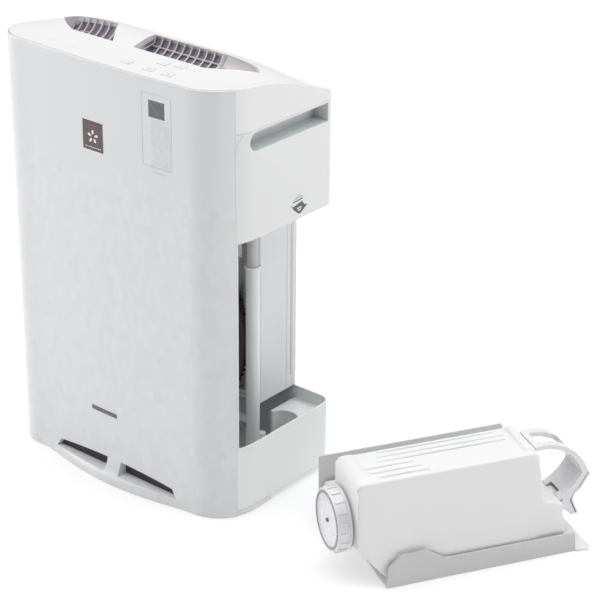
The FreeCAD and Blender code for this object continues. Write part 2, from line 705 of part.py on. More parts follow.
def make_fan():
    near = -S.fan_back - S.fan_w
    hub = fuse(
        tube("y", (0, 0), S.fan_r, S.shaft_r, (near, near + 2)),
        tube("y", (0, 0), S.fan_hub_r, S.shaft_r, (near + 1, near + S.fan_hub_l)),
        tube("y", (0, 0), S.fan_r, S.fan_r - 8, (-S.fan_back - 2, -S.fan_back)))
    blades = []
    count = int(float(S.blade_count))
    root = float(S.fan_r - S.blade_deep)
    tip = float(S.fan_r) - 1
    middle = (root + tip) / 2
    for step in range(count):
        blade = prism([(root, -1.0), ((middle, 0.6), "arc"), (tip, -1.6), (tip, -0.4),
                       ((middle, 1.8), "arc"), (root, 0.2)],
                      near + 1, -S.fan_back - 1, "XZ")
        blade.rotate(V(0, 0, 0), V(0, 1, 0), 360.0 * step / count)
        blades.append(solid(blade, "Blade"))
    impeller = fuse(hub, *blades)
    place(impeller, S.fan_x, 0, S.fan_z)
    keep(impeller, "fan_impeller")
    keep(rod("y", (S.fan_x, S.fan_z), S.shaft_r - S.axle_gap, (near - 12, near + 30)),
         "motor_shaft")
    back = near - S.motor_gap
    front = back - S.motor_l
    can = tube("y", (S.fan_x, S.fan_z), S.motor_r, S.shaft_r + S.axle_gap, (front, back))
    arm = box((S.fan_x - S.bracket_half, S.fan_x + S.bracket_half), (front - S.bracket_t, front),
              (S.fan_z - S.bracket_h / 2, S.fan_z + S.bracket_h / 2))
    bracket = cut(arm, rod("y", (S.fan_x, S.fan_z), 6, (near - 40, near)))
    keep(fuse(round_edges(can, 3, lambda edge: edge.Length > 200), bracket), "fan_motor")


def make_scroll():
    """Volute round the fan, opening upwards into the outlet duct."""
    t = S.scroll_t
    outer = S.fan_r + S.scroll_gap
    low = -S.fan_back - S.fan_w - 33
    high = S.trough_front - 4 - S.seam
    right = S.deep_left - S.liner_t - S.seam
    top = CABINET_H - S.collar_deep - 9
    left = -HALF_W + S.grip_deep + S.liner_t + 2
    inset = 2 * (S.skin + S.seam)
    form = common(
        fuse(rod("y", (S.fan_x, S.fan_z), outer, (low, high)),
             box((left, right), (low, high), (S.fan_z, top))),
        plan_block(inset, 0, TALL))
    room = common(
        fuse(rod("y", (S.fan_x, S.fan_z), outer - t, (low + t, high - t)),
             box((left + t, right - t), (low + t, high - t), (S.fan_z, top + 1))),
        plan_block(inset + t, -1, TALL))
    inlet = rod("y", (S.fan_x, S.fan_z), S.fan_r - S.inlet_rim, (0, 40))
    keep(cut(form, room, inlet), "scroll_housing")


def make_electrics():
    under = S.key_base_z - S.switch_h
    board = box((-10, 120), (-103, -52), (under - S.board_t, under))
    spots = key_places().values()
    switches = [box((x - 3, x + 3), (y - 3, y + 3),
                    (under, S.key_base_z + 0.3)) for x, y in spots]
    keep(fuse(board, *switches), "control_board")
    keep(box((HALF_W - S.skin - S.sensor_t, HALF_W - S.skin), (-40, -12),
             (S.sensor_low, S.sensor_high)), "dust_sensor")
    back = S.trough_front - 4 - S.seam - S.scroll_t
    keep(box((-60, 10), (back - 22, back), (CABINET_H - 66, CABINET_H - 52)), "ion_generator")


# ---------------------------------------------------------------- humidifying tray and wheel

PINION_X = S.wheel_x - S.tooth_module * (S.wheel_teeth + S.pinion_teeth) / 2


def toothed(teeth, low, high, bore, gap_first):
    """Gear with short straight-sided teeth about the Y axis, centred on the origin."""
    module = float(S.tooth_module)
    count = int(float(teeth))
    pitch_r = module * count / 2
    step = 2 * math.pi / count
    turn = step / 2 if gap_first else 0
    corners = []
    for tooth in range(count):
        middle = tooth * step + turn
        for radius, share in ((pitch_r - 1.15 * module, -0.26), (pitch_r + 0.75 * module, -0.12),
                              (pitch_r + 0.75 * module, 0.12), (pitch_r - 1.15 * module, 0.26)):
            angle = middle + share * step
            corners.append(V(radius * math.cos(angle), low, radius * math.sin(angle)))
    ring = Part.Face(Part.makePolygon(corners + corners[:1]))
    gear = ring.extrude(V(0, float(high) - float(low), 0))
    hole = Part.makeCylinder(float(bore), 200, V(0, -50, 0), V(0, 1, 0))
    return gear.cut(hole)


def make_tray():
    t = S.tray_t
    top = S.bay_low
    low = S.tray_low
    left = S.deep_left + 3
    rear = HALF_D
    front = -S.panel_back + S.seam
    basin = common(PLAN, box((left, HALF_W + 1), (front, rear + 1), (low, top)))
    trough = box((-S.trough_left, left + 1), (S.trough_front, S.trough_back), (low, top - 8))
    room = common(plan_block(t, 0, TALL),
                  box((left + t, HALF_W), (front + t, rear), (low + t, top + 1)))
    channel = box((-S.trough_left + t, left + t + 1), (S.trough_front + t, S.trough_back - t),
                  (low + t, top + 1))
    filled = cut(fuse(basin, trough), room, channel)
    ledge = common(
        cut(box((S.shelf_wall_x, HALF_W - t / 2), (S.ledge_front, rear - t / 2),
                (low + t / 2, S.ledge_z)),
            rod("z", (S.shelf_wall_x + 26, S.ledge_front - 6), 22, (0, 200))), basin)
    peg = rod("z", (S.post_x + 3, S.post_y + 15.8), 5.5, (low + t / 2, 60))
    spot = (S.float_x, S.float_y)
    guide = rod("z", spot, S.guide_r, (low + t / 2, S.float_low + S.float_h + S.float_rise + 6))
    keep(fuse(filled, ledge, peg, guide), "water_tray")
    bottom = low + t + S.running_gap
    half = S.float_w / 2
    block = round_edges(
        box((S.float_x - half, S.float_x + half), (S.float_y - half, S.float_y + half),
            (bottom, bottom + S.float_h)), 4, lambda edge: runs_along(edge, 2))
    keep(cut(block, rod("z", spot, S.guide_r + 0.5, (0, 200))), "tray_float")


def make_wheel():
    back = S.wheel_front + S.wheel_t
    middle = S.wheel_front + S.wheel_t / 2
    root = S.tooth_module * S.wheel_teeth / 2
    ring = solid(toothed(S.wheel_teeth, middle - S.gear_t / 2, middle + S.gear_t / 2,
                         root - 8, False), "Ring")
    parts = [ring, tube("y", (0, 0), root - 5, root - 8, (S.wheel_front, back)),
             tube("y", (0, 0), S.wheel_hub, S.axle_r + S.axle_gap, (S.wheel_front, back))]
    for step in range(6):
        for y in (S.wheel_front, back - 2):
            spoke = Part.makeBox(float(root) - 8 - float(S.wheel_hub) + 3, 2.0, 5.0,
                                 V(float(S.wheel_hub) - 1, float(y), -2.5))
            spoke.rotate(V(0, 0, 0), V(0, 1, 0), 60.0 * step + 15)
            parts.append(solid(spoke, "Spoke"))
    frame = fuse(*parts)
    place(frame, S.wheel_x, 0, S.wheel_z)
    keep(frame, "wheel_frame")
    media = tube("y", (S.wheel_x, S.wheel_z), root - 8, S.wheel_hub,
                 (S.wheel_front + 2, back - 2))
    keep(media, "wheel_filter")


def make_wheel_stand():
    low = S.wheel_front - 5.5
    high = S.wheel_front - 1
    foot = box((S.wheel_x - 60, S.post_x), (low + 1.2, high), (S.bay_low - 22, S.bay_low - 12))
    upright = box((S.wheel_x - 8, S.wheel_x + 8), (low + 1.2, high),
                  (S.bay_low - 14, S.wheel_z))
    boss = rod("y", (S.wheel_x, S.wheel_z), 11, (low, high))
    axle = rod("y", (S.wheel_x, S.wheel_z), S.axle_r, (low + 1, S.wheel_front + S.wheel_t + 1))
    feet = [box((x, x + 14), (S.trough_front + S.tray_t, high),
                (S.tray_low + S.tray_t, S.bay_low - 14))
            for x in (S.wheel_x - 60, S.wheel_x + 50)]
    post = rod("z", (S.post_x, S.post_y), S.post_r, (S.tray_low + S.tray_t, S.collar_z))
    ring = rod("z", (S.post_x, S.post_y), S.post_r + 1.6, (S.collar_z - 3, S.collar_z))
    keep(fuse(foot, upright, boss, axle, post, ring, *feet), "wheel_stand")
    keep(rod("z", (S.post_x, S.post_y), S.post_r - 1.5, (S.collar_z, S.post_high)), "post_cap")


def make_wheel_drive():
    middle = S.wheel_front + S.wheel_t / 2
    pinion = toothed(S.pinion_teeth, middle - S.gear_t / 2, middle + S.gear_t / 2,
                     S.axle_r - 1.5 + S.axle_gap, True)
    gear = solid(pinion, "Pinion")
    place(gear, PINION_X, 0, S.wheel_z)
    keep(gear, "drive_pinion")
    reach = S.gear_motor_half
    motor = box((PINION_X - reach, PINION_X + reach),
                (S.shelf_front - 1, S.shelf_front + S.gear_motor_l),
                (S.wheel_z - reach, S.wheel_z + reach))
    spindle = rod("y", (PINION_X, S.wheel_z), S.axle_r - 1.5,
                  (middle - S.gear_t / 2 - 2, S.shelf_front))
    keep(fuse(motor, spindle), "wheel_motor")


# ---------------------------------------------------------------- filters and rear panel

def framed(y, rim, low, high, left, right):
    """Open rectangular frame between two depths."""
    return cut(box((left, right), y, (low, high)),
               box((left + rim, right - rim), (y[0] - 1, y[1] + 1), (low + rim, high - rim)))


def make_filters():
    left = -S.filter_left
    right = S.filter_right
    low = S.filter_low
    high = S.filter_high
    near = S.hepa_front
    far = near + S.hepa_t
    keep(framed((near, far), 6, low, high, left, right), "hepa_frame")
    fold = []
    count = 24
    start = float(left) + 6.2
    pitch = (float(right) - float(left) - 12.4) / count
    for step in range(count):
        fold.append((start + step * pitch, float(near) + 3))
        fold.append((start + (step + 0.5) * pitch, float(far) - 4.5))
    fold.append((start + count * pitch, float(near) + 3))
    thick = [(x, y + 1.4) for x, y in reversed(fold)]
    keep(solid(prism(fold + thick, low + 6, high - 6), "Pleats"), "hepa_pleats")
    near = far + 0.6
    far = near + S.carbon_t
    keep(framed((near, far), 8, low, high, left, right), "carbon_frame")
    keep(box((left + 8, right - 8), (near + 3, far - 3), (low + 8, high - 8)), "carbon_core")


def make_rear_panel():
    left = -HALF_W + S.rear_corner + 4.4
    right = S.shelf_wall_x - S.seam
    low = S.bay_low + 0.6
    high = S.skirt_z - S.seam
    panel = box((left, right), (HALF_D - S.panel_t, HALF_D), (low, high))
    hollow = box((left + 3, right - 3), (HALF_D - S.panel_t - 1, HALF_D - S.skin),
                 (low + 3, high - 3))
    slots = []
    columns = 6
    rows = 22
    wide = (float(right) - float(left) - 40) / columns
    tall = (float(high) - float(low) - 60) / rows
    for column in range(columns):
        for row_ in range(rows):
            x = float(left) + 20 + column * wide
            z = float(low) + 30 + row_ * tall
            slots.append(box((x + 3, x + wide - 3), (HALF_D - 5, HALF_D + 1),
                             (z + 3, z + tall - 3)))
    keep(cut(panel, hollow, *slots), "rear_panel")
    keep(box((left + 4, right - 4), (HALF_D - S.panel_t, HALF_D - S.skin),
             (low + 4, high - 4)), "prefilter_mesh")


# ---------------------------------------------------------------- water tank

def lay(obj):
    """Lay a piece drawn in the tank's own frame on the floor beside the cabinet."""
    turn = FreeCAD.Rotation(FreeCAD.Vector(0, 0, 1), float(S.tank_turn))
    base = V(S.tank_x, S.tank_y, 0)
    carrier = doc.addObject("Part::Compound", "Laid")
    carrier.Links = [obj]
    carrier.Placement = FreeCAD.Placement(base, turn)
    return carrier


def make_casing():
    t = S.casing_t
    f = S.flange_t
    plate = box((0, S.casing_l), (0, S.casing_w), (0, t))
    near_rise = S.near_flange_h
    near = outline("XZ", [(0, 0), (1.7, near_rise + 3), (17.5, near_rise + 17),
                          (53, near_rise + 18), (81, near_rise + 1),
                          (S.casing_l - 23, near_rise), (S.casing_l - 20, 0)], 0, f)
    high = S.far_flange_h
    far = outline("XZ", [(0, 0), (0, 20), (-21, 30), (-21, high), (S.casing_l - 43, high + 1),
                         (S.casing_l - 29, high - 30), (S.casing_l - 23, 0)],
                  S.casing_w - f, S.casing_w)
    keep(lay(fuse(plate, near, far)), "tank_casing")


def bottle_form(inset):
    """Bottle without its neck: a tall block and a lower step behind it."""
    i = dim(inset)
    end = -S.bottle_end
    low = S.casing_t + S.running_gap
    tall = outline("XZ", [(6 + i, low + i), (end + i, 58 + i), (end + i, S.bottle_high - i),
                          (215 - i, S.bottle_high - i), (223 - i, 78 - i), (252 - i, 70 - i),
                          (257 - i, low + i)],
                   S.bottle_front + i, S.bottle_step - i)
    step = outline("XZ", [(6 + i, low + i), (-18 + i, 30), (-18 + i, S.bottle_low_high - i),
                          (252 - i, S.bottle_low_high - i), (257 - i, low + i)],
                   S.bottle_step - i - 2, S.bottle_back - i)
    return fuse(tall, step)


def make_bottle():
    spot = (S.neck_across, S.neck_up)
    end = -S.bottle_end
    outer = round_edges(bottle_form(0), 7.0, lambda edge: (
        runs_along(edge, 0) and edge.CenterOfMass.z > 100))
    neck = rod("x", spot, S.neck_r, (end - S.neck_l, end + 2))
    bore = rod("x", spot, S.neck_r - 2.5, (end - S.neck_l - 1, end + 6))
    keep(lay(cut(fuse(outer, neck), bottle_form(S.bottle_wall), bore)), "tank_bottle")


def make_cap():
    spot = (S.neck_across, S.neck_up)
    end = -S.bottle_end - S.neck_l
    face = end - 4
    shell = cut(rod("x", spot, S.cap_r, (face, face + S.cap_l)),
                rod("x", spot, S.neck_r + S.running_gap, (face + S.cap_t, face + S.cap_l + 1)),
                rod("x", spot, S.valve_r + S.axle_gap, (face - 1, face + 9)))
    ribs = []
    count = int(float(S.cap_ribs))
    for step in range(count):
        rib = Part.makeBox(float(S.cap_l) - 5, 3.0, 1.8,
                           V(float(face) + 4, -1.5, float(S.cap_r) - 0.8))
        rib.rotate(V(0, 0, 0), V(1, 0, 0), 360.0 * step / count)
        rib.translate(V(0, S.neck_across, S.neck_up))
        ribs.append(solid(rib, "Rib"))
    guide = tube("x", spot, S.valve_r + 3, S.valve_r + S.axle_gap, (face + 1, face + 12))
    keep(lay(fuse(shell, guide, *ribs)), "tank_cap")
    keep(lay(tube("x", spot, S.neck_r - 0.5, S.neck_r - 5, (face + S.cap_t, end - 0.0))),
         "cap_seal")
    stem = rod("x", spot, S.valve_r, (face - 2, face + 17))
    plug = rod("x", spot, S.valve_r + 6, (face + 17, face + 20))
    keep(lay(fuse(stem, plug)), "cap_valve")


def make_handle():
    along = S.handle_along
    up = S.handle_up
    low = S.handle_low
    high = S.handle_high
    arm = solid(prism(
        [(along - 6, up - 5), (along + 14, up - 22), (along + 22, up - 22),
         (along + 12, up), ((along + 24, up + 18), "arc"), (along + 36, up + 38),
         ((along + 12, up + 74), "arc"), (along - 44, up + 89),
         (along - 43, up + 83), ((along + 8, up + 68), "arc"), (along + 27, up + 38),
         ((along + 14, up + 20), "arc"), (along - 6, up + 6)], low, high, "XZ"), "Arm")
    hole = box((along - 36, along + 4), (low + 12, high - 12), (up + 55, up + 95))
    eye = rod("y", (along, up), S.pin_r + S.axle_gap, (low - 1, high + 1))
    slot = box((along - 20, along + 8), (low + 12, high - 12), (up - 12, up + 10))
    keep(lay(cut(arm, hole, eye, slot)), "tank_handle")
    lug = fuse(box((253, along), (low + 14, high - 14), (up - 7, up + 5)),
               rod("y", (along, up), 5, (low + 14, high - 14)))
    keep(lay(cut(lug, rod("y", (along, up), S.pin_r, (0, 200)), bottle_form(0))),
         "handle_lug")
    keep(lay(rod("y", (along, up), S.pin_r, (low - 3, high + 3))), "handle_pin")


# ---------------------------------------------------------------- fasteners

def make_screws():
    spots = [(-60, 12), (60, 12), (-60, 90), (40, 90)]
    screws = []
    for x, z in spots:
        screws.append(rod("y", (x, z), S.screw_head_r, (HALF_D, HALF_D + S.screw_head_t)))
    keep(group(*screws), "rear_screws")


front_panel = make_front_panel()
make_front_trim()
make_top_cover()
make_keys()
make_outlet_grilles()
left_panel = make_side_panel()
make_side_cover()
grip_blocks = make_grips()
make_base()
make_lower_outlet(front_panel)
make_bay(left_panel)
make_frame(grip_blocks)
make_fan()
make_scroll()
make_electrics()
make_tray()
make_wheel()
make_wheel_stand()
make_wheel_drive()
make_filters()
make_rear_panel()
make_casing()
make_bottle()
make_cap()
make_handle()
make_screws()

doc.recompute()
faults = [obj.Name for obj in doc.Objects if "Invalid" in obj.State or "Error" in obj.State]
if faults:
    raise RuntimeError("failed objects: " + ", ".join(faults))
for node in NODES:
    if node.Shape.isNull() or not node.Shape.isValid() or not node.Shape.Solids:
        raise RuntimeError("bad shape: " + node.Label)
os.makedirs("parts", exist_ok=True)
for node in NODES:
    node.Shape.exportStep("parts/" + node.Label + ".step")
    print(node.Label, len(node.Shape.Solids), round(node.Shape.Volume / 1000.0, 2), "cm3")
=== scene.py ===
"""Visible pieces and finishes of a humidifying air purifier whose tank lies beside it."""

import math

import bmesh
import bpy
from mathutils import Euler, Matrix, Vector
from mathutils.bvhtree import BVHTree


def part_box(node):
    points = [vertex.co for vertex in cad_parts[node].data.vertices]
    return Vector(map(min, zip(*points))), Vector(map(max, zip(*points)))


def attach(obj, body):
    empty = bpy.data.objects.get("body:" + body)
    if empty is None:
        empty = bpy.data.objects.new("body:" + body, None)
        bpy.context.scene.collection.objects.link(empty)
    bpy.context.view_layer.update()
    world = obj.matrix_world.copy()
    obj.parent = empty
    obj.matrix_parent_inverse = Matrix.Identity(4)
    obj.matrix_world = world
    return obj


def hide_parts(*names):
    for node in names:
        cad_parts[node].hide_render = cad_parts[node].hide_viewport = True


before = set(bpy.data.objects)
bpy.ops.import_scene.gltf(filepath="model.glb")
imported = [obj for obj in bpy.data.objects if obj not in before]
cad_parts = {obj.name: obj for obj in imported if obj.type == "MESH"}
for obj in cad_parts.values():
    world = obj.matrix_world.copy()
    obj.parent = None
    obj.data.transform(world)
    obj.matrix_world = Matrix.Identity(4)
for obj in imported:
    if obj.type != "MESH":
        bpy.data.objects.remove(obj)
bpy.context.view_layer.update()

MM = 0.001
QUARTER = math.pi / 2
UPRIGHT = (QUARTER, 0, 0)
CLOSE = 0.01 * MM

# ------------------------------------------------------------------ driving sizes

HALF_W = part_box("right_side_cover")[1].x
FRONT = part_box("front_panel")[0].y
SEAM_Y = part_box("front_panel")[1].y
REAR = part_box("rear_panel")[1].y
CORNER = 62 * MM
LEFT_CORNER = 40 * MM
BOW = 3.6 * MM
FLAT_HALF = HALF_W - CORNER
BOW_R = (FLAT_HALF ** 2 + BOW ** 2) / (2 * BOW)
CORNER_Y = FRONT + BOW + CORNER * math.cos(FLAT_HALF / BOW_R)
SKIN = 2.6 * MM
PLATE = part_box("indicator_plate")
PLATE_MIDDLE = (PLATE[0] + PLATE[1]) / 2
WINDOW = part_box("display_window")
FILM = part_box("label_film")

# Lower lip and its two slots
LIP_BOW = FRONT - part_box("lower_lip")[0].y
LIP_HALF = 137 * MM
MESH_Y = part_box("lower_mesh")[0].y
SLOT_LOW = 14 * MM
SLOT_HIGH = 33 * MM
SLOT_DROP = 7 * MM
SLOT_END = 107 * MM
SLOT_SPLAY = 7 * MM
SPLAY_REACH = 28 * MM
DIVIDER = 12.5 * MM
SLOTS = ((-SLOT_END, -DIVIDER), (DIVIDER, SLOT_END))

# Air outlets in the top
GRID_PITCH = 13 * MM
GRID_END = {"right": 105.5 * MM, "left": 168 * MM}
CROWN_FLAT = 104 * MM
CROWN_FALL = 0.0026

# The tank on the floor
TANK_AT = Vector((451.6, -83.3, 0)) * MM
TANK_TURN = math.radians(60)
NECK_V = 60
NECK_W = 80


# ------------------------------------------------------------------ finishes

FINISHES = {}


def link(tree, source, target):
    tree.links.new(source, target)


def noise(tree, place, scale, detail=2.0):
    """Cloudy pattern over a place's coordinates."""
    node = tree.nodes.new("ShaderNodeTexNoise")
    node.inputs["Scale"].default_value = scale
    node.inputs["Detail"].default_value = detail
    link(tree, place, node.inputs["Vector"])
    return node.outputs["Fac"]


def part_of(tree, place, axis):
    """One coordinate of a place."""
    split = tree.nodes.new("ShaderNodeSeparateXYZ")
    link(tree, place, split.inputs[0])
    return split.outputs[axis]


def math_node(tree, operation, first, second):
    """Sum on two sockets or plain numbers."""
    node = tree.nodes.new("ShaderNodeMath")
    node.operation = operation
    for socket, value in zip(node.inputs, (first, second)):
        if isinstance(value, bpy.types.NodeSocket):
            link(tree, value, socket)
        else:
            socket.default_value = value
    return node.outputs[0]


def mixed(tree, kind, share, first, second):
    """Colour mix with either side a socket or a plain colour."""
    mix = tree.nodes.new("ShaderNodeMix")
    mix.data_type = "RGBA"
    mix.blend_type = kind
    for index, value in ((0, share), (6, first), (7, second)):
        if isinstance(value, bpy.types.NodeSocket):
            link(tree, value, mix.inputs[index])
        else:
            mix.inputs[index].default_value = value
    return mix.outputs[2]


def ranged(tree, value, low, high, to_low=0.0, to_high=1.0, kind="SMOOTHSTEP"):
    """Value carried from one range to another."""
    node = tree.nodes.new("ShaderNodeMapRange")
    node.interpolation_type = kind
    node.inputs["From Min"].default_value = low
    node.inputs["From Max"].default_value = high
    node.inputs["To Min"].default_value = to_low
    node.inputs["To Max"].default_value = to_high
    link(tree, value, node.inputs["Value"])
    return node.outputs["Result"]


def relief(tree, height, depth, strength):
    """Bump of the given depth in millimetres."""
    bump = tree.nodes.new("ShaderNodeBump")
    bump.inputs["Strength"].default_value = strength
    bump.inputs["Distance"].default_value = depth * MM
    link(tree, height, bump.inputs["Height"])
    return bump


def lay_under(tree, bump, height, depth, strength):
    """A second, coarser relief laid under the grain."""
    coarse = relief(tree, height, depth, strength)
    link(tree, coarse.outputs["Normal"], bump.inputs["Normal"])


def turned_place(tree, place, centre=(0, 0, 0), turn=(0, 0, 0)):
    """Object coordinates about a centre, turned."""
    node = tree.nodes.new("ShaderNodeMapping")
    node.vector_type = "POINT"
    node.inputs["Location"].default_value = Euler(turn).to_matrix() @ -Vector(centre)
    node.inputs["Rotation"].default_value = turn
    link(tree, place, node.inputs["Vector"])
    return node.outputs["Vector"]


def finish(name, colour, rough, mottle=45.0, tint=0.02, grain=1500.0, depth=0.02,
           swing=0.06, extra=None, **sockets):
    """Moulded or painted surface, kept in FINISHES: uneven tone and gloss, fine grain."""
    material = bpy.data.materials.new(name)
    material.use_nodes = True
    tree = material.node_tree
    shader = tree.nodes["Principled BSDF"]
    place = tree.nodes.new("ShaderNodeTexCoord").outputs["Object"]
    darker = [min(1.0, c * (1 - tint)) for c in colour] + [1.0]
    lighter = [min(1.0, c * (1 + tint)) for c in colour] + [1.0]
    tone = mixed(tree, "MIX", noise(tree, place, mottle, 4.0), darker, lighter)
    smears = noise(tree, place, mottle * 2.7, 6.0)
    gloss = ranged(tree, smears, 0.3, 0.7, max(0.02, rough - swing), min(1.0, rough + swing),
                   "LINEAR")
    link(tree, gloss, shader.inputs["Roughness"])
    bump = relief(tree, noise(tree, place, grain), depth, 0.6)
    link(tree, bump.outputs["Normal"], shader.inputs["Normal"])
    if extra:
        tone = extra(tree, place, tone, bump)
    link(tree, tone, shader.inputs["Base Color"])
    for socket, value in sockets.items():
        shader.inputs[socket.replace("_", " ")].default_value = value
    material.diffuse_color = (*colour, 1.0)
    FINISHES[name] = material


def faceted(tree, place, colour, bump):
    """Staggered upright facets over the lower four fifths of the front."""
    flat = turned_place(tree, place, turn=(-QUARTER, 0, 0))
    facets = tree.nodes.new("ShaderNodeTexBrick")
    facets.offset = 0.5
    settings = {"Color1": (0, 0, 0, 1), "Color2": (1, 1, 1, 1), "Mortar": (0.5, 0.5, 0.5, 1),
                "Scale": 1.0, "Mortar Size": 0.35 * MM, "Mortar Smooth": 1.0,
                "Brick Width": 9.0 * MM, "Row Height": 15.0 * MM}
    for label, value in settings.items():
        facets.inputs[label].default_value = value
    link(tree, flat, facets.inputs["Vector"])
    faded = ranged(tree, part_of(tree, place, "Z"), 475 * MM, 455 * MM)
    raised = mixed(tree, "MIX", faded, (0.5, 0.5, 0.5, 1), facets.outputs["Color"])
    lay_under(tree, bump, raised, 0.10, 0.35)
    lifted = mixed(tree, "MIX", raised, (0.955, 0.955, 0.955, 1), (1, 1, 1, 1))
    return mixed(tree, "MULTIPLY", 1.0, colour, lifted)


def edge_worn(strength, tone):
    """Lighter or darker tone where fingers and edges rub."""
    def worn(tree, place, colour, bump):
        edges = tree.nodes.new("ShaderNodeNewGeometry").outputs["Pointiness"]
        where = ranged(tree, edges, 0.52, 0.62, 0.0, strength)
        patchy = math_node(tree, "MULTIPLY", where, noise(tree, place, 160.0))
        return mixed(tree, "MIX", patchy, colour, (*tone, 1))
    return worn


def painted_glow_from_middle(centre, reach, inner):
    """Painted glow: paler tone in the middle of a small plate, deeper outwards."""
    def shaded(tree, place, colour, bump):
        length = tree.nodes.new("ShaderNodeVectorMath")
        length.operation = "LENGTH"
        link(tree, turned_place(tree, place, centre=centre), length.inputs[0])
        fall = ranged(tree, length.outputs["Value"], 0.0, reach)
        return mixed(tree, "MIX", fall, (*inner, 1), colour)
    return shaded


def painted_shade_paling_forward(start, end, tone):
    """Painted shade that grows paler from one depth to another, towards the shallower front."""
    def shaded(tree, place, colour, bump):
        forward = ranged(tree, part_of(tree, place, "Y"), start, end)
        return mixed(tree, "MIX", forward, colour, (*tone, 1))
    return shaded


def waves(tree, place, pitch):
    """Bands at a given pitch."""
    node = tree.nodes.new("ShaderNodeTexWave")
    node.inputs["Scale"].default_value = 1.0 / pitch / 6.28
    link(tree, place, node.inputs["Vector"])
    return node


def painted_glints(turn, pitch, strength, tone):
    """Soft slanted streaks of painted reflection, as glints on a small screen under its cover.
    """
    def shaded(tree, place, colour, bump):
        bands = waves(tree, turned_place(tree, place, turn=(0, turn, 0)), pitch)
        bands.inputs["Distortion"].default_value = 2.5
        bands.inputs["Detail"].default_value = 2.0
        lines = ranged(tree, bands.outputs["Fac"], 0.86, 1.0, 0.0, strength)
        return mixed(tree, "MIX", lines, colour, (*tone, 1))
    return shaded


def woven(pitch, depth, tone):
    """Crossed threads at a given pitch in all three directions."""
    def shaded(tree, place, colour, bump):
        heights = []
        for axis in ("X", "Y", "Z"):
            bands = waves(tree, place, pitch)
            bands.bands_direction = axis
            heights.append(bands.outputs["Fac"])
        cross = mixed(tree, "MULTIPLY", 1.0, heights[0], heights[2])
        cross = mixed(tree, "ADD", 0.5, cross, heights[1])
        lay_under(tree, bump, cross, depth, 0.8)
        return mixed(tree, "MIX", cross, (*tone, 1), colour)
    return shaded


finish("front_gloss", (0.735, 0.74, 0.75), 0.3, depth=0.004, grain=700,
       tint=0.004, swing=0.02, extra=faceted, Coat_Weight=0.3,
       Coat_Roughness=0.12)
finish("cabinet_white", (0.745, 0.748, 0.755), 0.3, depth=0.004,
       grain=700, tint=0.004, swing=0.02,
       extra=edge_worn(0.25, (0.86, 0.86, 0.86)),
       Coat_Weight=0.25, Coat_Roughness=0.14)
# Cabinet white made lighter for the top cover: painted light from overhead.
finish("cover_white", (0.79, 0.79, 0.795), 0.3, depth=0.004, grain=700,
       tint=0.004, swing=0.02, Coat_Weight=0.25, Coat_Roughness=0.14)
finish("lip_white", (0.74, 0.745, 0.755), 0.3, depth=0.006, tint=0.01,
       Coat_Weight=0.2, Coat_Roughness=0.15)
finish("inner_white", (0.76, 0.765, 0.78), 0.42, depth=0.02, tint=0.02)
# Inner white made greener and darker for the grip recesses; the darkening is painted shade in
# the recesses.
finish("grip_green", (0.67, 0.70, 0.70), 0.4, depth=0.02, tint=0.03)
finish("tray_grey", (0.80, 0.83, 0.825), 0.38, depth=0.012, tint=0.01,
       extra=edge_worn(0.2, (0.86, 0.87, 0.87)), Subsurface_Weight=0.08,
       Subsurface_Radius=(0.006, 0.006, 0.006))
finish("mesh_dark", (0.115, 0.11, 0.12), 0.55, depth=0.03, tint=0.15)
finish("duct_dark", (0.075, 0.065, 0.075), 0.6, depth=0.03, tint=0.2)
finish("grille_grey", (0.66, 0.62, 0.67), 0.35, depth=0.01, tint=0.05)
# Painted shade of the outlets' deep hollows: dark purple, paling where the hollow is shallow.
finish("grille_shade", (0.19, 0.16, 0.195), 0.4, depth=0.01, tint=0.15,
       mottle=90, extra=painted_shade_paling_forward(-14 * MM, -34 * MM,
                                      (0.60, 0.53, 0.60)))
finish("scoop_pale", (0.62, 0.58, 0.60), 0.35, depth=0.01, tint=0.06)
# Dark plate with a painted glow, paler maroon in its middle.
finish("plate_dark", (0.022, 0.006, 0.010), 0.12, tint=0.2,
       extra=painted_glow_from_middle(PLATE_MIDDLE, 24 * MM, (0.085, 0.012, 0.02)),
       Coat_Weight=0.8, Coat_Roughness=0.03)
# Dark window with painted glints: slanted streaks of painted reflection.
finish("window_dark", (0.085, 0.088, 0.092), 0.14, tint=0.1,
       extra=painted_glints(0.7, 7 * MM, 0.12, (0.3, 0.32, 0.32)),
       Coat_Weight=0.6, Coat_Roughness=0.05)
finish("print_grey", (0.50, 0.51, 0.53), 0.5, tint=0.08, mottle=300)
finish("print_faint", (0.64, 0.65, 0.67), 0.45, tint=0.04, mottle=300)
finish("print_white", (0.92, 0.90, 0.90), 0.4, tint=0.03, mottle=300)
finish("print_red", (0.62, 0.05, 0.06), 0.35, tint=0.08, mottle=300)
finish("label_dark", (0.10, 0.10, 0.105), 0.45, tint=0.12, mottle=300)
finish("badge_grey", (0.13, 0.13, 0.14), 0.3, tint=0.1, mottle=200)
finish("key_white", (0.75, 0.755, 0.765), 0.34, tint=0.008, depth=0.01)
finish("foot_rubber", (0.05, 0.05, 0.05), 0.75, depth=0.08, tint=0.15)
finish("steel", (0.62, 0.62, 0.63), 0.28, Metallic=1.0, depth=0.02)
finish("motor_case", (0.10, 0.10, 0.11), 0.45, Metallic=0.6, depth=0.05)
finish("board_green", (0.02, 0.12, 0.05), 0.5, tint=0.2, mottle=200)
finish("part_black", (0.03, 0.03, 0.032), 0.5, depth=0.05, tint=0.15)
finish("fan_grey", (0.10, 0.105, 0.115), 0.42, depth=0.03, tint=0.1)
finish("wheel_brown", (0.060, 0.038, 0.036), 0.45, depth=0.04, tint=0.15)
finish("wheel_fabric", (0.052, 0.030, 0.028), 0.85, depth=0.2, tint=0.3,
       extra=woven(2.4 * MM, 0.5, (0.02, 0.012, 0.012)),
       Sheen_Weight=0.3)
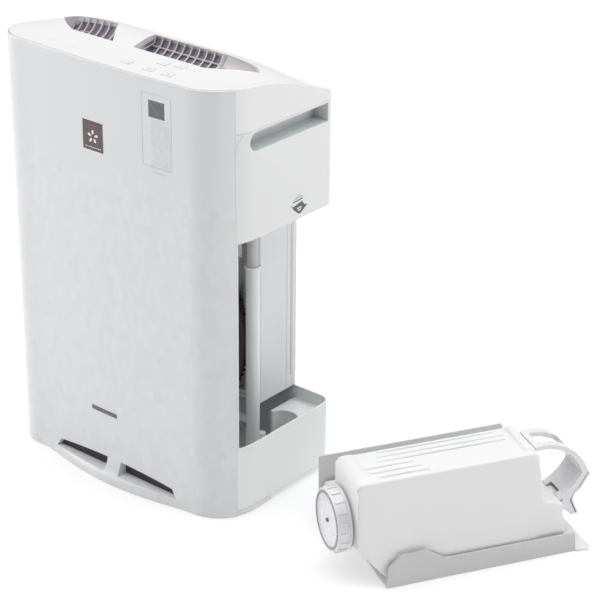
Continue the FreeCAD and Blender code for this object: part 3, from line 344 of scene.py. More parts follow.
finish("gear_white", (0.75, 0.75, 0.72), 0.4, depth=0.02)
finish("filter_white", (0.84, 0.84, 0.81), 0.9, depth=0.15, tint=0.05,
       extra=woven(1.6 * MM, 0.2, (0.70, 0.70, 0.67)), Sheen_Weight=0.2)
finish("carbon_black", (0.03, 0.03, 0.03), 0.8, depth=0.3, tint=0.4)
finish("prefilter_grey", (0.12, 0.12, 0.125), 0.8, depth=0.1,
       extra=woven(1.2 * MM, 0.3, (0.05, 0.05, 0.05)))
finish("bottle_milk", (0.79, 0.795, 0.79), 0.36, depth=0.02, tint=0.012,
       mottle=22, Subsurface_Weight=0.55, Coat_Weight=0.1,
       Subsurface_Radius=(0.012, 0.012, 0.012))
finish("casing_grey", (0.56, 0.565, 0.56), 0.42, depth=0.02, tint=0.02,
       extra=edge_worn(0.3, (0.8, 0.8, 0.8)))
finish("casing_light", (0.78, 0.78, 0.79), 0.4, depth=0.02, tint=0.02)
finish("cap_white", (0.75, 0.75, 0.765), 0.3, depth=0.01, tint=0.01,
       extra=edge_worn(0.2, (0.93, 0.93, 0.93)), Coat_Weight=0.2)
finish("ring_violet", (0.30, 0.29, 0.34), 0.4, depth=0.02, tint=0.06)
finish("seal_grey", (0.22, 0.22, 0.25), 0.5, depth=0.03, tint=0.1)


# ------------------------------------------------------------------ making pieces

def new_object(name, data):
    """Object at the origin, linked to the scene."""
    piece = bpy.data.objects.new(name, data)
    bpy.context.scene.collection.objects.link(piece)
    return piece


def sharpen(bm, angle):
    """Smooth shading, broken only at edges steeper than the angle."""
    limit = math.radians(angle)
    for face in bm.faces:
        face.smooth = True
    for edge in bm.edges:
        edge.smooth = len(edge.link_faces) == 2 and edge.calc_face_angle(0.0) < limit


def built(name, bm, material, angle=35):
    """Object from a bmesh with its finish."""
    bm.normal_update()
    sharpen(bm, angle)
    mesh = bpy.data.meshes.new(name)
    bm.to_mesh(mesh)
    bm.free()
    mesh.materials.append(FINISHES[material])
    return new_object(name, mesh)


def baked(piece, material):
    """Piece with its modifiers made into plain mesh and taken off."""
    made = piece.evaluated_get(bpy.context.evaluated_depsgraph_get())
    mesh = bpy.data.meshes.new_from_object(made)
    piece.modifiers.clear()
    piece.data = mesh
    if not mesh.materials:
        mesh.materials.append(FINISHES[material])
    return piece


def settle(piece, body, slot, *nodes):
    """Ride on a body and stand for the nodes named; the slot is not used."""
    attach(piece, body)
    if nodes:
        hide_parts(*nodes)
    return piece


def rounded(piece, width, segments=2):
    """Edges rounded by a bevel of the given width in millimetres."""
    bevel = piece.modifiers.new("Edges", "BEVEL")
    bevel.width = width * MM
    bevel.segments = segments
    bevel.limit_method = "ANGLE"
    bevel.angle_limit = math.radians(35)
    bevel.use_clamp_overlap = True
    bevel.harden_normals = True
    return piece


def thickened(piece, thickness, offset=-1.0):
    """Sheet given a thickness behind its face, or about it at offset 0."""
    wall = piece.modifiers.new("Wall", "SOLIDIFY")
    wall.thickness = thickness
    wall.offset = offset
    return piece


def squared(point):
    """Left front corner drawn out from its large round to a tighter one."""
    out = Vector((-FLAT_HALF - point.x, CORNER_Y - point.y))
    if out.x <= 0 or out.y <= 0:
        return point
    way = out.normalized()
    shift = CORNER - LEFT_CORNER
    both = way.x + way.y
    reach = shift * both + math.sqrt(max(0.0, (shift * both) ** 2 - 2 * shift ** 2
                                         + LEFT_CORNER ** 2))
    for first, second in ((way.x, way.y), (way.y, way.x)):
        if first > 0 and CORNER / first * second <= shift:
            reach = CORNER / first
    out *= reach / CORNER
    return Vector((-FLAT_HALF - out.x, CORNER_Y - out.y, point.z))


def welded(node):
    """Bmesh of a node as one closed skin with its flat faces whole."""
    bm = bmesh.new()
    bm.from_mesh(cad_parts[node].data)
    if node in ("top_cover", "left_side_panel", "left_grip_cup"):
        for vertex in bm.verts:
            vertex.co = squared(vertex.co)
    bmesh.ops.remove_doubles(bm, verts=bm.verts, dist=3e-6)
    bmesh.ops.dissolve_limit(bm, angle_limit=math.radians(0.4), verts=bm.verts,
                             edges=bm.edges)
    return bm


def softened(node, body, material, slot, width, segments=2):
    """Piece in a node's place: the same shape with softened edges."""
    piece = built(node + "_skin", welded(node), material)
    rounded(piece, width, segments)
    return settle(piece, body, slot, node)


def circle(centre, side, other, radius, steps):
    """Points round a circle in the plane of two directions."""
    return [centre + radius * (math.cos(k * math.tau / steps) * side
                               + math.sin(k * math.tau / steps) * other)
            for k in range(steps)]


def swept(name, route, radius, material, sides):
    """Round bead along a line of points, closed at both ends."""
    bm = bmesh.new()
    rings = []
    for index, point in enumerate(route):
        ahead = route[min(index + 1, len(route) - 1)]
        behind = route[max(index - 1, 0)]
        along = (ahead - behind).normalized()
        side = along.orthogonal().normalized()
        if rings:
            side = (last_side - along * last_side.dot(along)).normalized()
        last_side = side
        spots = circle(point, side, along.cross(side), radius, sides)
        rings.append([bm.verts.new(spot) for spot in spots])
    for first, second in zip(rings, rings[1:]):
        for k in range(sides):
            n = (k + 1) % sides
            bm.faces.new((first[k], first[n], second[n], second[k]))
    bm.faces.new(list(reversed(rings[0])))
    bm.faces.new(rings[-1])
    bmesh.ops.recalc_face_normals(bm, faces=bm.faces)
    return built(name, bm, material)


def prism(bm, near, far):
    """Closed prism between two matching outlines."""
    near = [bm.verts.new(point) for point in near]
    far = [bm.verts.new(point) for point in far]
    faces = [bm.faces.new(near), bm.faces.new(list(reversed(far)))]
    for k in range(len(near)):
        n = (k + 1) % len(near)
        faces.append(bm.faces.new((near[n], near[k], far[k], far[n])))
    bmesh.ops.recalc_face_normals(bm, faces=faces)
    return bm


def plate_from(name, outline, low, high, axis, material):
    """Flat plate on an outline of (a, b) pairs between two depths along an axis."""
    def spot(a, b, depth):
        return {"x": (depth, a, b), "y": (a, depth, b), "z": (a, b, depth)}[axis]
    near = [spot(a, b, low) for a, b in outline]
    far = [spot(a, b, high) for a, b in outline]
    return built(name, prism(bmesh.new(), near, far), material)


def oblong(x, y, wide, deep):
    """Corners of a rectangle from its low corner."""
    return [(x, y), (x + wide, y), (x + wide, y + deep), (x, y + deep)]


def in_mm(outline):
    """Pairs given in millimetres, in the scene's metres."""
    return [(a * MM, b * MM) for a, b in outline]


def turned_form(bm, profile, centre, along, steps):
    """Revolve (radius, distance) points in millimetres about an axis."""
    side = along.orthogonal().normalized()
    other = along.cross(side)
    rings = []
    for radius, distance in in_mm(profile):
        base = centre + along * distance
        spots = circle(base, side, other, radius, steps) if radius > CLOSE else [base]
        rings.append([bm.verts.new(spot) for spot in spots])
    for first, second in zip(rings, rings[1:]):
        for k in range(steps):
            n = (k + 1) % steps
            corners = [first[k % len(first)], first[n % len(first)],
                       second[n % len(second)], second[k % len(second)]]
            face = list(dict.fromkeys(corners))
            if len(face) > 2:
                bm.faces.new(face)
    bmesh.ops.recalc_face_normals(bm, faces=bm.faces)
    return bm


def turned_piece(name, profile, centre, along, material, steps):
    """Turned form as a piece of its own."""
    return built(name, turned_form(bmesh.new(), profile, centre, along, steps), material)


def middle_and_size(node):
    """Middle and breadths of a node's box."""
    low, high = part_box(node)
    return (low + high) / 2, high - low


def surface_of(node):
    """Search tree over a node's faces."""
    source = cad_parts[node].data
    return BVHTree.FromPolygons([v.co for v in source.vertices],
                                [p.vertices for p in source.polygons])


def height_over(surface, x, y):
    """Height of a surface over a plan point, or nothing where it is open."""
    hit = surface.ray_cast(Vector((x, y, 1.0)), Vector((0, 0, -1)))[0]
    return hit.z if hit else None


# ------------------------------------------------------------------ repeating forms

def new_tree(name, inputs):
    """Empty node tree with named inputs; returns the tree and its input sockets."""
    tree = bpy.data.node_groups.new(name, "GeometryNodeTree")
    tree.interface.new_socket("Geometry", in_out="OUTPUT", socket_type="NodeSocketGeometry")
    for label, kind in inputs:
        tree.interface.new_socket(label, in_out="INPUT", socket_type="NodeSocket" + kind)
    entry = tree.nodes.new("NodeGroupInput")
    return tree, entry.outputs


def add(tree, kind, **links):
    """Node of a kind with its named inputs linked or set."""
    node = tree.nodes.new(kind)
    for label, value in links.items():
        socket = node.inputs[label.replace("_", " ")]
        if isinstance(value, bpy.types.NodeSocket):
            tree.links.new(value, socket)
        else:
            socket.default_value = value
    return node


def finish_tree(tree, geometry, material):
    """Realised instances with their finish, as the last two steps."""
    real = add(tree, "GeometryNodeRealizeInstances", Geometry=geometry)
    coat = add(tree, "GeometryNodeSetMaterial", Geometry=real.outputs[0], Material=material)
    end = tree.nodes.new("NodeGroupOutput")
    tree.links.new(coat.outputs[0], end.inputs[0])
    return tree


def block_field():
    """Columns and rows of one small block, some left out, on a plane or a bowed front."""
    tree, given = new_tree("BlockField", [
        ("Columns", "Int"), ("Rows", "Int"), ("Wide", "Float"), ("Tall", "Float"),
        ("Block", "Vector"), ("Middle", "Vector"), ("Turn", "Rotation"), ("Bow", "Float"),
        ("Share", "Float"), ("Seed", "Int"), ("Finish", "Material")])
    points = add(tree, "GeometryNodeMeshGrid", Size_X=given["Wide"], Size_Y=given["Tall"],
                 Vertices_X=given["Columns"], Vertices_Y=given["Rows"])
    lots = tree.nodes.new("FunctionNodeRandomValue")
    lots.data_type = "BOOLEAN"
    tree.links.new(given["Share"], lots.inputs["Probability"])
    tree.links.new(given["Seed"], lots.inputs["Seed"])
    block = add(tree, "GeometryNodeMeshCube", Size=given["Block"])
    laid = add(tree, "GeometryNodeInstanceOnPoints", Points=points.outputs["Mesh"],
               Selection=lots.outputs[3], Instance=block.outputs["Mesh"])
    real = add(tree, "GeometryNodeRealizeInstances", Geometry=laid.outputs[0])
    moved = add(tree, "GeometryNodeTransform", Geometry=real.outputs[0],
                Translation=given["Middle"], Rotation=given["Turn"])
    where = tree.nodes.new("GeometryNodeInputPosition")
    split = add(tree, "ShaderNodeSeparateXYZ", Vector=where.outputs[0])
    square = math_node(tree, "MULTIPLY", split.outputs[0], split.outputs[0])
    back = math_node(tree, "MULTIPLY", square, given["Bow"])
    shift = add(tree, "ShaderNodeCombineXYZ", Y=back)
    bent = add(tree, "GeometryNodeSetPosition", Geometry=moved.outputs[0],
               Offset=shift.outputs[0])
    return finish_tree(tree, bent.outputs[0], given["Finish"])


def hooked_ribs():
    """A row of thin ribs that follow one bend, joined by rods along the row."""
    tree, given = new_tree("HookedRibs", [
        ("Ribs", "Int"), ("Rods", "Int"), ("Start", "Vector"), ("Step", "Vector"),
        ("Top", "Vector"), ("Bend", "Vector"), ("Foot", "Vector"), ("Rib", "Vector"),
        ("Rod", "Vector"), ("Row Middle", "Vector"), ("Finish", "Material")])
    bend = add(tree, "GeometryNodeCurveQuadraticBezier", Resolution=14, Start=given["Top"],
               Middle=given["Bend"], End=given["Foot"])
    size = add(tree, "ShaderNodeSeparateXYZ", Vector=given["Rib"])
    shape = add(tree, "GeometryNodeCurvePrimitiveQuadrilateral", Width=size.outputs[0],
                Height=size.outputs[1])
    rib = add(tree, "GeometryNodeCurveToMesh", Curve=bend.outputs[0],
              Profile_Curve=shape.outputs[0], Fill_Caps=True)
    row = add(tree, "GeometryNodeMeshLine", Count=given["Ribs"], Start_Location=given["Start"],
              Offset=given["Step"])
    ribs = add(tree, "GeometryNodeInstanceOnPoints", Points=row.outputs[0],
               Instance=rib.outputs[0])
    spots = add(tree, "GeometryNodeCurveToPoints", Curve=bend.outputs[0], Count=given["Rods"])
    rod = add(tree, "GeometryNodeMeshCube", Size=given["Rod"])
    rods = add(tree, "GeometryNodeInstanceOnPoints", Points=spots.outputs[0],
               Instance=rod.outputs[0])
    placed = add(tree, "GeometryNodeTransform", Geometry=rods.outputs[0],
                 Translation=given["Row Middle"])
    whole = tree.nodes.new("GeometryNodeJoinGeometry")
    tree.links.new(ribs.outputs[0], whole.inputs[0])
    tree.links.new(placed.outputs[0], whole.inputs[0])
    return finish_tree(tree, whole.outputs[0], given["Finish"])


def block_ring():
    """Blocks standing round a circle, each turned to face outwards."""
    tree, given = new_tree("BlockRing", [
        ("Count", "Int"), ("Radius", "Float"), ("Block", "Vector"), ("Middle", "Vector"),
        ("Turn", "Rotation"), ("Finish", "Material")])
    ring = add(tree, "GeometryNodeMeshCircle", Vertices=given["Count"], Radius=given["Radius"])
    number = tree.nodes.new("GeometryNodeInputIndex")
    share = math_node(tree, "DIVIDE", number.outputs[0], given["Count"])
    angle = math_node(tree, "MULTIPLY", share, math.tau)
    turn = add(tree, "ShaderNodeCombineXYZ", Z=angle)
    facing = add(tree, "FunctionNodeEulerToRotation", Euler=turn.outputs[0])
    block = add(tree, "GeometryNodeMeshCube", Size=given["Block"])
    laid = add(tree, "GeometryNodeInstanceOnPoints", Points=ring.outputs[0],
               Instance=block.outputs[0], Rotation=facing.outputs[0])
    moved = add(tree, "GeometryNodeTransform", Geometry=laid.outputs[0],
                Translation=given["Middle"], Rotation=given["Turn"])
    return finish_tree(tree, moved.outputs[0], given["Finish"])


FIELD = block_field()
RIBS = hooked_ribs()
RING = block_ring()


def grown(name, tree, material, **values):
    """Plain mesh of what a node tree makes with the values given."""
    carrier = new_object(name, bpy.data.meshes.new(name))
    maker = carrier.modifiers.new("Maker", "NODES")
    maker.node_group = tree
    values["Finish"] = FINISHES[material]
    for item in tree.interface.items_tree:
        label = item.name.replace(" ", "_")
        if item.item_type == "SOCKET" and item.in_out == "INPUT" and label in values:
            maker[item.identifier] = values[label]
    bpy.context.view_layer.update()
    return baked(carrier, material)


def field(name, material, columns, rows, wide, tall, block, middle, bow=0.0, share=1.0):
    """Upright field of small blocks, level by level."""
    return grown(name, FIELD, material, Columns=columns, Rows=rows, Wide=wide, Tall=tall,
                 Block=Vector(block), Middle=Vector(middle), Turn=Euler(UPRIGHT), Bow=bow,
                 Share=share, Seed=3)


# ------------------------------------------------------------------ front shell

def front_y(x):
    """Depth of the bowed front at a distance from the middle."""
    return FRONT + BOW_R - math.sqrt(BOW_R ** 2 - x ** 2)


def plan_columns():
    """Plan points (x, y, outward normal) round the front, left seam to right seam."""
    wanted = [PLATE[0].x, PLATE[1].x, WINDOW[0].x, WINDOW[1].x, -SLOT_END, -DIVIDER,
              DIVIDER, SLOT_END]
    reach = FLAT_HALF + CORNER * math.sin(FLAT_HALF / BOW_R)
    count = 34
    for k in range(count + 1):
        x = -reach + 2 * reach * k / count
        if all(abs(x - other) > 3 * MM for other in wanted):
            wanted.append(x)
    flat = [(x, front_y(x), Vector((x / BOW_R, -1, 0)).normalized()) for x in sorted(wanted)]
    start = math.asin(FLAT_HALF / BOW_R)
    stop = math.acos((CORNER_Y - SEAM_Y) / CORNER)
    steps = 14
    corner = []
    for k in range(1, steps + 1):
        angle = start + (stop - start) * k / steps
        way = Vector((math.sin(angle), -math.cos(angle), 0))
        corner.append((FLAT_HALF + CORNER * way.x, CORNER_Y + CORNER * way.y, way))
    mirrored = [(-x, y, Vector((-way.x, way.y, 0))) for x, y, way in reversed(corner)]
    return mirrored + flat + corner


def lip_reach(x):
    """How far the lower lip stands out in front of the panel."""
    share = min(1.0, abs(x) / LIP_HALF)
    return LIP_BOW * (1 - share * share) ** 1.4


# (height, share of the lip's reach), (share of the slot's height, share of the reach),
# heights up the panel, and (drop from the top edge, inset) over its rounded top
LIP_ROWS = [(0.6, 0.90), (1.6, 0.97), (3.2, 1.0), (5.5, 1.0), (8.0, 0.96), (10.4, 0.86),
            (12.4, 0.72), (14.0, 0.56)]
SLOT_ROWS = [(0.35, 0.26), (0.7, 0.08)]
PANEL_ROWS = [60, 75, 100, 140, 180, 220, 260, 300, 340, 380, 420, 455, 540, 592]
TOP_ROWS = [(7.0, 0.0), (3.0, 0.0), (1.7, 0.25), (0.7, 0.9), (0.1, 1.9)]
SLOT_FOOT = len(LIP_ROWS) - 1
SLOT_HEAD = len(LIP_ROWS) + len(SLOT_ROWS)


def slot_top(x):
    """Height of the slots' upper edge, lower towards their ends."""
    share = min(1.0, abs(x) / SLOT_END)
    return SLOT_HIGH - SLOT_DROP * share * share


def splayed(x, level):
    """Slot ends lean outwards towards the floor."""
    near = max(0.0, 1 - abs(abs(x) - SLOT_END) / SPLAY_REACH)
    return x + math.copysign(SLOT_SPLAY * near * near * (1 - level), x)


def front_rows(x, y, way, crown):
    """Points up one column of the front shell."""
    top = slot_top(x)
    flat = abs(x) < LIP_HALF

    def lip_point(z, share):
        level = max(0.0, (z - SLOT_LOW) / (top - SLOT_LOW))
        at = splayed(x, level) if flat else x
        base = front_y(at) if flat else y
        return Vector((at, base - lip_reach(at) * share, z))

    points = [lip_point(z * MM, share) for z, share in LIP_ROWS]
    points += [lip_point(SLOT_LOW + level * (top - SLOT_LOW), share)
               for level, share in SLOT_ROWS + [(1.0, 0.0)]]
    points += [Vector((x, y, top + rise * MM)) for rise in (2.0, 5.0, 11.0)]
    levels = [z * MM for z in PANEL_ROWS] + [PLATE[0].z, PLATE[1].z, WINDOW[0].z, WINDOW[1].z]
    points += [Vector((x, y, z)) for z in sorted(levels)]
    for drop, inset in TOP_ROWS:
        at = Vector((x, y, 0)) - way * inset * MM
        points.append(Vector((at.x, at.y, crown - drop * MM)))
    return points


def front_grid(columns):
    """Points of the front shell, column by column, up to the panel's top edge."""
    surface = surface_of("front_panel")
    grid = []
    for x, y, way in columns:
        inside = Vector((x, y, 0)) - way * SKIN / 2
        crown = height_over(surface, inside.x, inside.y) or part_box("front_panel")[1].z
        grid.append([squared(point) for point in front_rows(x, y, way, crown)])
    return grid


def in_pane(x, z):
    """Whether a cell lies in the opening of the dark plate or the window."""
    return any(low.x - CLOSE < x < high.x + CLOSE and low.z - CLOSE < z < high.z - 10 * CLOSE
               for low, high in (PLATE, WINDOW))


def make_front_shell():
    """Front panel and lower lip in one skin, with slots and the two small windows."""
    columns = plan_columns()
    grid = front_grid(columns)
    bm = bmesh.new()
    spots = [[bm.verts.new(point) for point in column] for column in grid]
    for c, (first, second) in enumerate(zip(spots, spots[1:])):
        middle = (columns[c][0] + columns[c + 1][0]) / 2
        for r in range(len(first) - 1):
            in_slot = DIVIDER < abs(middle) < SLOT_END and SLOT_FOOT <= r < SLOT_HEAD
            if not in_slot and not in_pane(middle, first[r].co.z):
                bm.faces.new((first[r], second[r], second[r + 1], first[r + 1]))
    loose = [v for v in bm.verts if not v.link_faces]
    bmesh.ops.delete(bm, geom=loose, context="VERTS")
    shell = thickened(built("front_shell", bm, "front_gloss", angle=50), SKIN)
    settle(shell, "cabinet", "cabinet_white", "front_panel", "lower_lip")
    make_slot_mouths(columns, grid)


def make_slot_mouths(columns, grid):
    """Walls of the two slots, from the skin back to the mesh."""
    bm = bmesh.new()
    for left, right in SLOTS:
        kept = [column for (x, y, way), column in zip(columns, grid)
                if left - CLOSE < x < right + CLOSE]
        loop = [column[SLOT_FOOT] for column in kept] + kept[-1][SLOT_FOOT + 1:SLOT_HEAD]
        loop += [column[SLOT_HEAD] for column in reversed(kept)]
        loop += list(reversed(kept[0][SLOT_FOOT + 1:SLOT_HEAD]))
        middle = sum(loop, Vector()) / len(loop)
        outer = [bm.verts.new(point + Vector((0, 0.4 * MM, 0))) for point in loop]
        inner = []
        for point in loop:
            pull = (middle - point) * 0.04
            inner.append(bm.verts.new((point.x + pull.x, MESH_Y - 0.1 * MM,
                                       point.z + pull.z)))
        for k in range(len(loop)):
            n = (k + 1) % len(loop)
            bm.faces.new((outer[k], inner[k], inner[n], outer[n]))
    bmesh.ops.recalc_face_normals(bm, faces=bm.faces)
    bmesh.ops.reverse_faces(bm, faces=bm.faces)
    mouth = thickened(built("slot_mouths", bm, "lip_white", angle=40), 1.0 * MM)
    settle(mouth, "cabinet", "cabinet_white")


def make_lower_mesh():
    """Dark woven mesh behind the two slots."""
    low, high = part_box("lower_mesh")
    middle, size = middle_and_size("lower_mesh")
    back = plate_from("slot_back", oblong(low.x, low.z, size.x, size.z), high.y - 0.6 * MM,
                      high.y, "y", "duct_dark")
    settle(back, "cabinet", "mesh_dark")
    bars = field("slot_mesh_upright", "mesh_dark", 88, 1, size.x, 0,
                 (0.8 * MM, size.z, 0.9 * MM), (0, low.y + 0.6 * MM, middle.z))
    settle(bars, "cabinet", "mesh_dark", "lower_mesh")
    lines = field("slot_mesh_level", "mesh_dark", 1, 13, 0, size.z - 1 * MM,
                  (size.x, 0.7 * MM, 0.7 * MM), (0, low.y + 1.1 * MM, middle.z))
    settle(lines, "cabinet", "mesh_dark")


# Rows of small printed blocks: finish, columns, rows, wide, tall, block, x, z, share kept
FILM_PRINT = {
    "film_dots": ("print_faint", 15, 27, 30, 58, (1.1, 1.1), 100.5, 518, 0.62),
    "film_lines": ("print_faint", 1, 3, 0, 6, (20, 0.9), 96, 550, 1.0),
    "film_caption": ("print_grey", 9, 1, 20, 0, (1.5, 1.5), 97, 483, 1.0),
}
INK = 0.1 * MM
PRINT_BOW = 1 / (2 * BOW_R)


def make_film_print():
    """Rim and faint printed rows of the clear film."""
    proud = FRONT - 0.12 * MM
    for name, (tone, columns, rows, wide, tall, block, x, z, share) in FILM_PRINT.items():
        marks = field(name, tone, columns, rows, wide * MM, tall * MM,
                      (block[0] * MM, block[1] * MM, INK), (x * MM, proud, z * MM),
                      PRINT_BOW, share)
        settle(marks, "cabinet", "film_clear")
    low, high = FILM
    corners = oblong(low.x, low.z, high.x - low.x, high.z - low.z)
    steps = 8
    route = []
    for (ax, az), (bx, bz) in zip(corners, corners[1:] + corners[:1]):
        for step in range(steps):
            x = ax + (bx - ax) * step / steps
            route.append(Vector((x, front_y(x) - 0.05 * MM, az + (bz - az) * step / steps)))
    route.append(route[0].copy())
    rim = swept("film_rim", route, 0.35 * MM, "print_faint", 6)
    settle(rim, "cabinet", "film_clear", "label_film")


def make_plate_sign():
    """Five plain petals and two printed rows on the dark plate."""
    hub = Vector((PLATE_MIDDLE.x, front_y(PLATE_MIDDLE.x) - 0.25 * MM, PLATE_MIDDLE.z - 1 * MM))
    bm = bmesh.new()
    petals = 5
    steps = 14
    for k in range(petals):
        angle = k * math.tau / petals + 0.3
        way = Vector((math.cos(angle), 0, math.sin(angle)))
        across = way.cross(Vector((0, 1, 0)))
        ring = []
        for step in range(steps):
            turn = step * math.tau / steps
            half = 1.7 * (1 + 0.35 * math.cos(turn))
            ring.append(bm.verts.new(hub + way * (6.2 + 3.1 * math.cos(turn)) * MM
                                     + across * half * math.sin(turn) * MM))
        bm.faces.new(ring)
    sign = thickened(built("plate_sign", bm, "print_white"), INK)
    settle(sign, "cabinet", "plate_dark")
    for name, z, tone, count, wide in (
            ("plate_line_low", PLATE[0].z + 4.5 * MM, "print_white", 9, 26 * MM),
            ("plate_line_high", PLATE[1].z - 6 * MM, "print_red", 5, 12 * MM)):
        row = field(name, tone, count, 1, wide, 0, (1.9 * MM, 1.1 * MM, INK),
                    (hub.x, FRONT - 0.1 * MM, z), PRINT_BOW)
        settle(row, "cabinet", "plate_dark")


# ------------------------------------------------------------------ softened skins

# node: body, finish, slot, edge width in millimetres, segments
SKINS = {
    # Top cover takes the lighter copy of cabinet white, painted light from overhead.
    "top_cover": ("cabinet", "cover_white", "cabinet_white", 0.8, 3),
    "right_side_cover": ("cabinet", "cabinet_white", "cabinet_white", 0.9, 3),
    "left_side_panel": ("cabinet", "cabinet_white", "cabinet_white", 0.9, 3),
    # Grip recesses in a darker grey-green, with painted shade.
    "right_grip_cup": ("cabinet", "grip_green", "inner_white", 0.8, 3),
    "left_grip_cup": ("cabinet", "grip_green", "inner_white", 0.8, 3),
    "bay_sill": ("cabinet", "cabinet_white", "cabinet_white", 0.6, 2),
    "bay_liner": ("cabinet", "inner_white", "inner_white", 0.5, 2),
    "inner_wall": ("cabinet", "inner_white", "inner_white", 0.5, 2),
    "rear_sill": ("cabinet", "inner_white", "inner_white", 0.6, 2),
    "water_tray": ("tray", "tray_grey", "tray_grey", 1.0, 3),
    "wheel_stand": ("tray", "tray_grey", "tray_grey", 0.6, 2),
    "post_cap": ("tray", "casing_grey", "casing_grey", 0.5, 2),
    "tray_float": ("float", "key_white", "key_white", 0.8, 2),
    "wheel_frame": ("wheel", "wheel_brown", "wheel_brown", 0.25, 1),
    "rear_panel": ("rear_cover", "inner_white", "inner_white", 0.4, 2),
    "hepa_frame": ("hepa", "inner_white", "inner_white", 0.6, 2),
    "carbon_frame": ("carbon", "inner_white", "inner_white", 0.6, 2),
    "tank_casing": ("tank", "casing_grey", "casing_grey", 0.5, 2),
    "tank_handle": ("handle", "cap_white", "cap_white", 1.6, 4),
    "handle_lug": ("tank", "casing_light", "casing_grey", 0.8, 2),
    "handle_pin": ("tank", "steel", "steel", 0.4, 2),
}


def make_skins():
    """Softened skins in the places of their nodes."""
    for node, (body, material, slot, width, segments) in SKINS.items():
        softened(node, body, material, slot, width, segments)


# ------------------------------------------------------------------ sides and top

def side_x(y):
    """Half width of the cabinet at a depth."""
    if y >= CORNER_Y:
        return HALF_W
    return FLAT_HALF + math.sqrt(max(0.0, CORNER ** 2 - (CORNER_Y - y) ** 2))


def make_side_bead():
    """Raised rim up the front edge of the right side cover and over to the grip."""
    path = [(-76.2, 402), (-76.2, 440), (-76.2, 480), (-76.3, 515), (-75.6, 526),
            (-73.6, 535), (-70, 541.5), (-65, 545.8), (-58, 547.4), (-40, 547.6), (0, 547.6),
            (60, 547.6), (96, 547.6)]
    route = []
    for (ay, az), (by, bz) in zip(path, path[1:]):
        for step in range(3):
            y = (ay + (by - ay) * step / 3) * MM
            z = (az + (bz - az) * step / 3) * MM
            route.append(Vector((side_x(y) - 0.25 * MM, y, z)))
    settle(swept("side_bead", route, 0.9 * MM, "cabinet_white", 8), "cabinet", "cabinet_white")


# Printed lines by the arrow label: middle y, middle z, length, finish
LABEL_LINES = ((39, 431, 15, "print_grey"), (38, 434, 9, "print_faint"),
               (37, 427.5, 19, "label_dark"), (40, 416.5, 9, "print_white"),
               (40, 413.5, 6, "print_white"))


def make_side_label():
    """Small slanted arrow label low on the right side cover."""
    x = HALF_W + 0.05 * MM
    shape = [(23, 424), (29, 416), (38, 408.5), (42, 408), (56, 416.5), (50, 418.5),
             (45, 424.5), (28, 420.5)]
    arrow = plate_from("side_label", in_mm(shape), x, x + 0.12 * MM, "x", "label_dark")
    settle(arrow, "cabinet", "cabinet_white")
    half = 0.8
    for k, (y, z, length, tone) in enumerate(LABEL_LINES):
        lean = length * 0.02
        left, right = y - length / 2, y + length / 2
        bar = [(left, z - half - lean), (right, z - half + lean), (right, z + half + lean),
               (left, z + half - lean)]
        line = plate_from("side_label_line_%d" % k, in_mm(bar), x + 0.1 * MM, x + 0.2 * MM,
                          "x", tone)
        settle(line, "cabinet", "cabinet_white")


def hollow_line(node):
    """Rear lip, low bend and front foot of an outlet's hollow."""
    low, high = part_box(node)
    return (Vector((0, high.y - 0.2 * MM, high.z + 2.6 * MM)),
            Vector((0, high.y - 11 * MM, low.z + 4 * MM)),
            Vector((0, low.y + 1.5 * MM, low.z + 12 * MM)))


def along_hollow(line, t):
    """Point on an outlet's hollow from its rear lip (0) to its front (1)."""
    lip, bend, foot = line
    return lip * (1 - t) ** 2 + bend * 2 * t * (1 - t) + foot * t * t


def follow_crown(piece):
    """Lower a piece towards the sides as the crowned top falls away."""
    for vertex in piece.data.vertices:
        beyond = max(0.0, abs(vertex.co.x) - CROWN_FLAT) / MM
        vertex.co.z -= CROWN_FALL * beyond * beyond * MM
    return piece


def hollow_sheet(name, spans, line, back, material):
    """Smooth sheet behind the outlet's hollow; spans is a list of (x, rise) pairs."""
    bm = bmesh.new()
    rows = []
    steps = 18
    for k in range(steps + 1):
        t = k / steps
        point = along_hollow(line, t)
        way = along_hollow(line, min(1.0, t + 0.02)) - along_hollow(line, max(0.0, t - 0.02))
        way.normalize()
        under = Vector((0, -way.z, way.y)) * back
        if under.z > 0:
            under = -under
        rows.append([bm.verts.new((x, point.y + under.y, point.z + under.z + rise * t * t))
                     for x, rise in spans])
    for a, b in zip(rows, rows[1:]):
        for k in range(len(spans) - 1):
            bm.faces.new((a[k], a[k + 1], b[k + 1], b[k]))
    bmesh.ops.recalc_face_normals(bm, faces=bm.faces)
    if sum(face.normal.z for face in bm.faces) < 0:
        bmesh.ops.reverse_faces(bm, faces=bm.faces)
    sheet = thickened(follow_crown(built(name, bm, material, 60)), 0.8 * MM)
    return settle(sheet, "cabinet", "grille_grey")


def grille_rod(name, route, radius):
    """Thin grey bead of a grille, lowered with the crown."""
    rod = follow_crown(swept(name, route, radius * MM, "grille_grey", 6))
    settle(rod, "cabinet", "grille_grey")


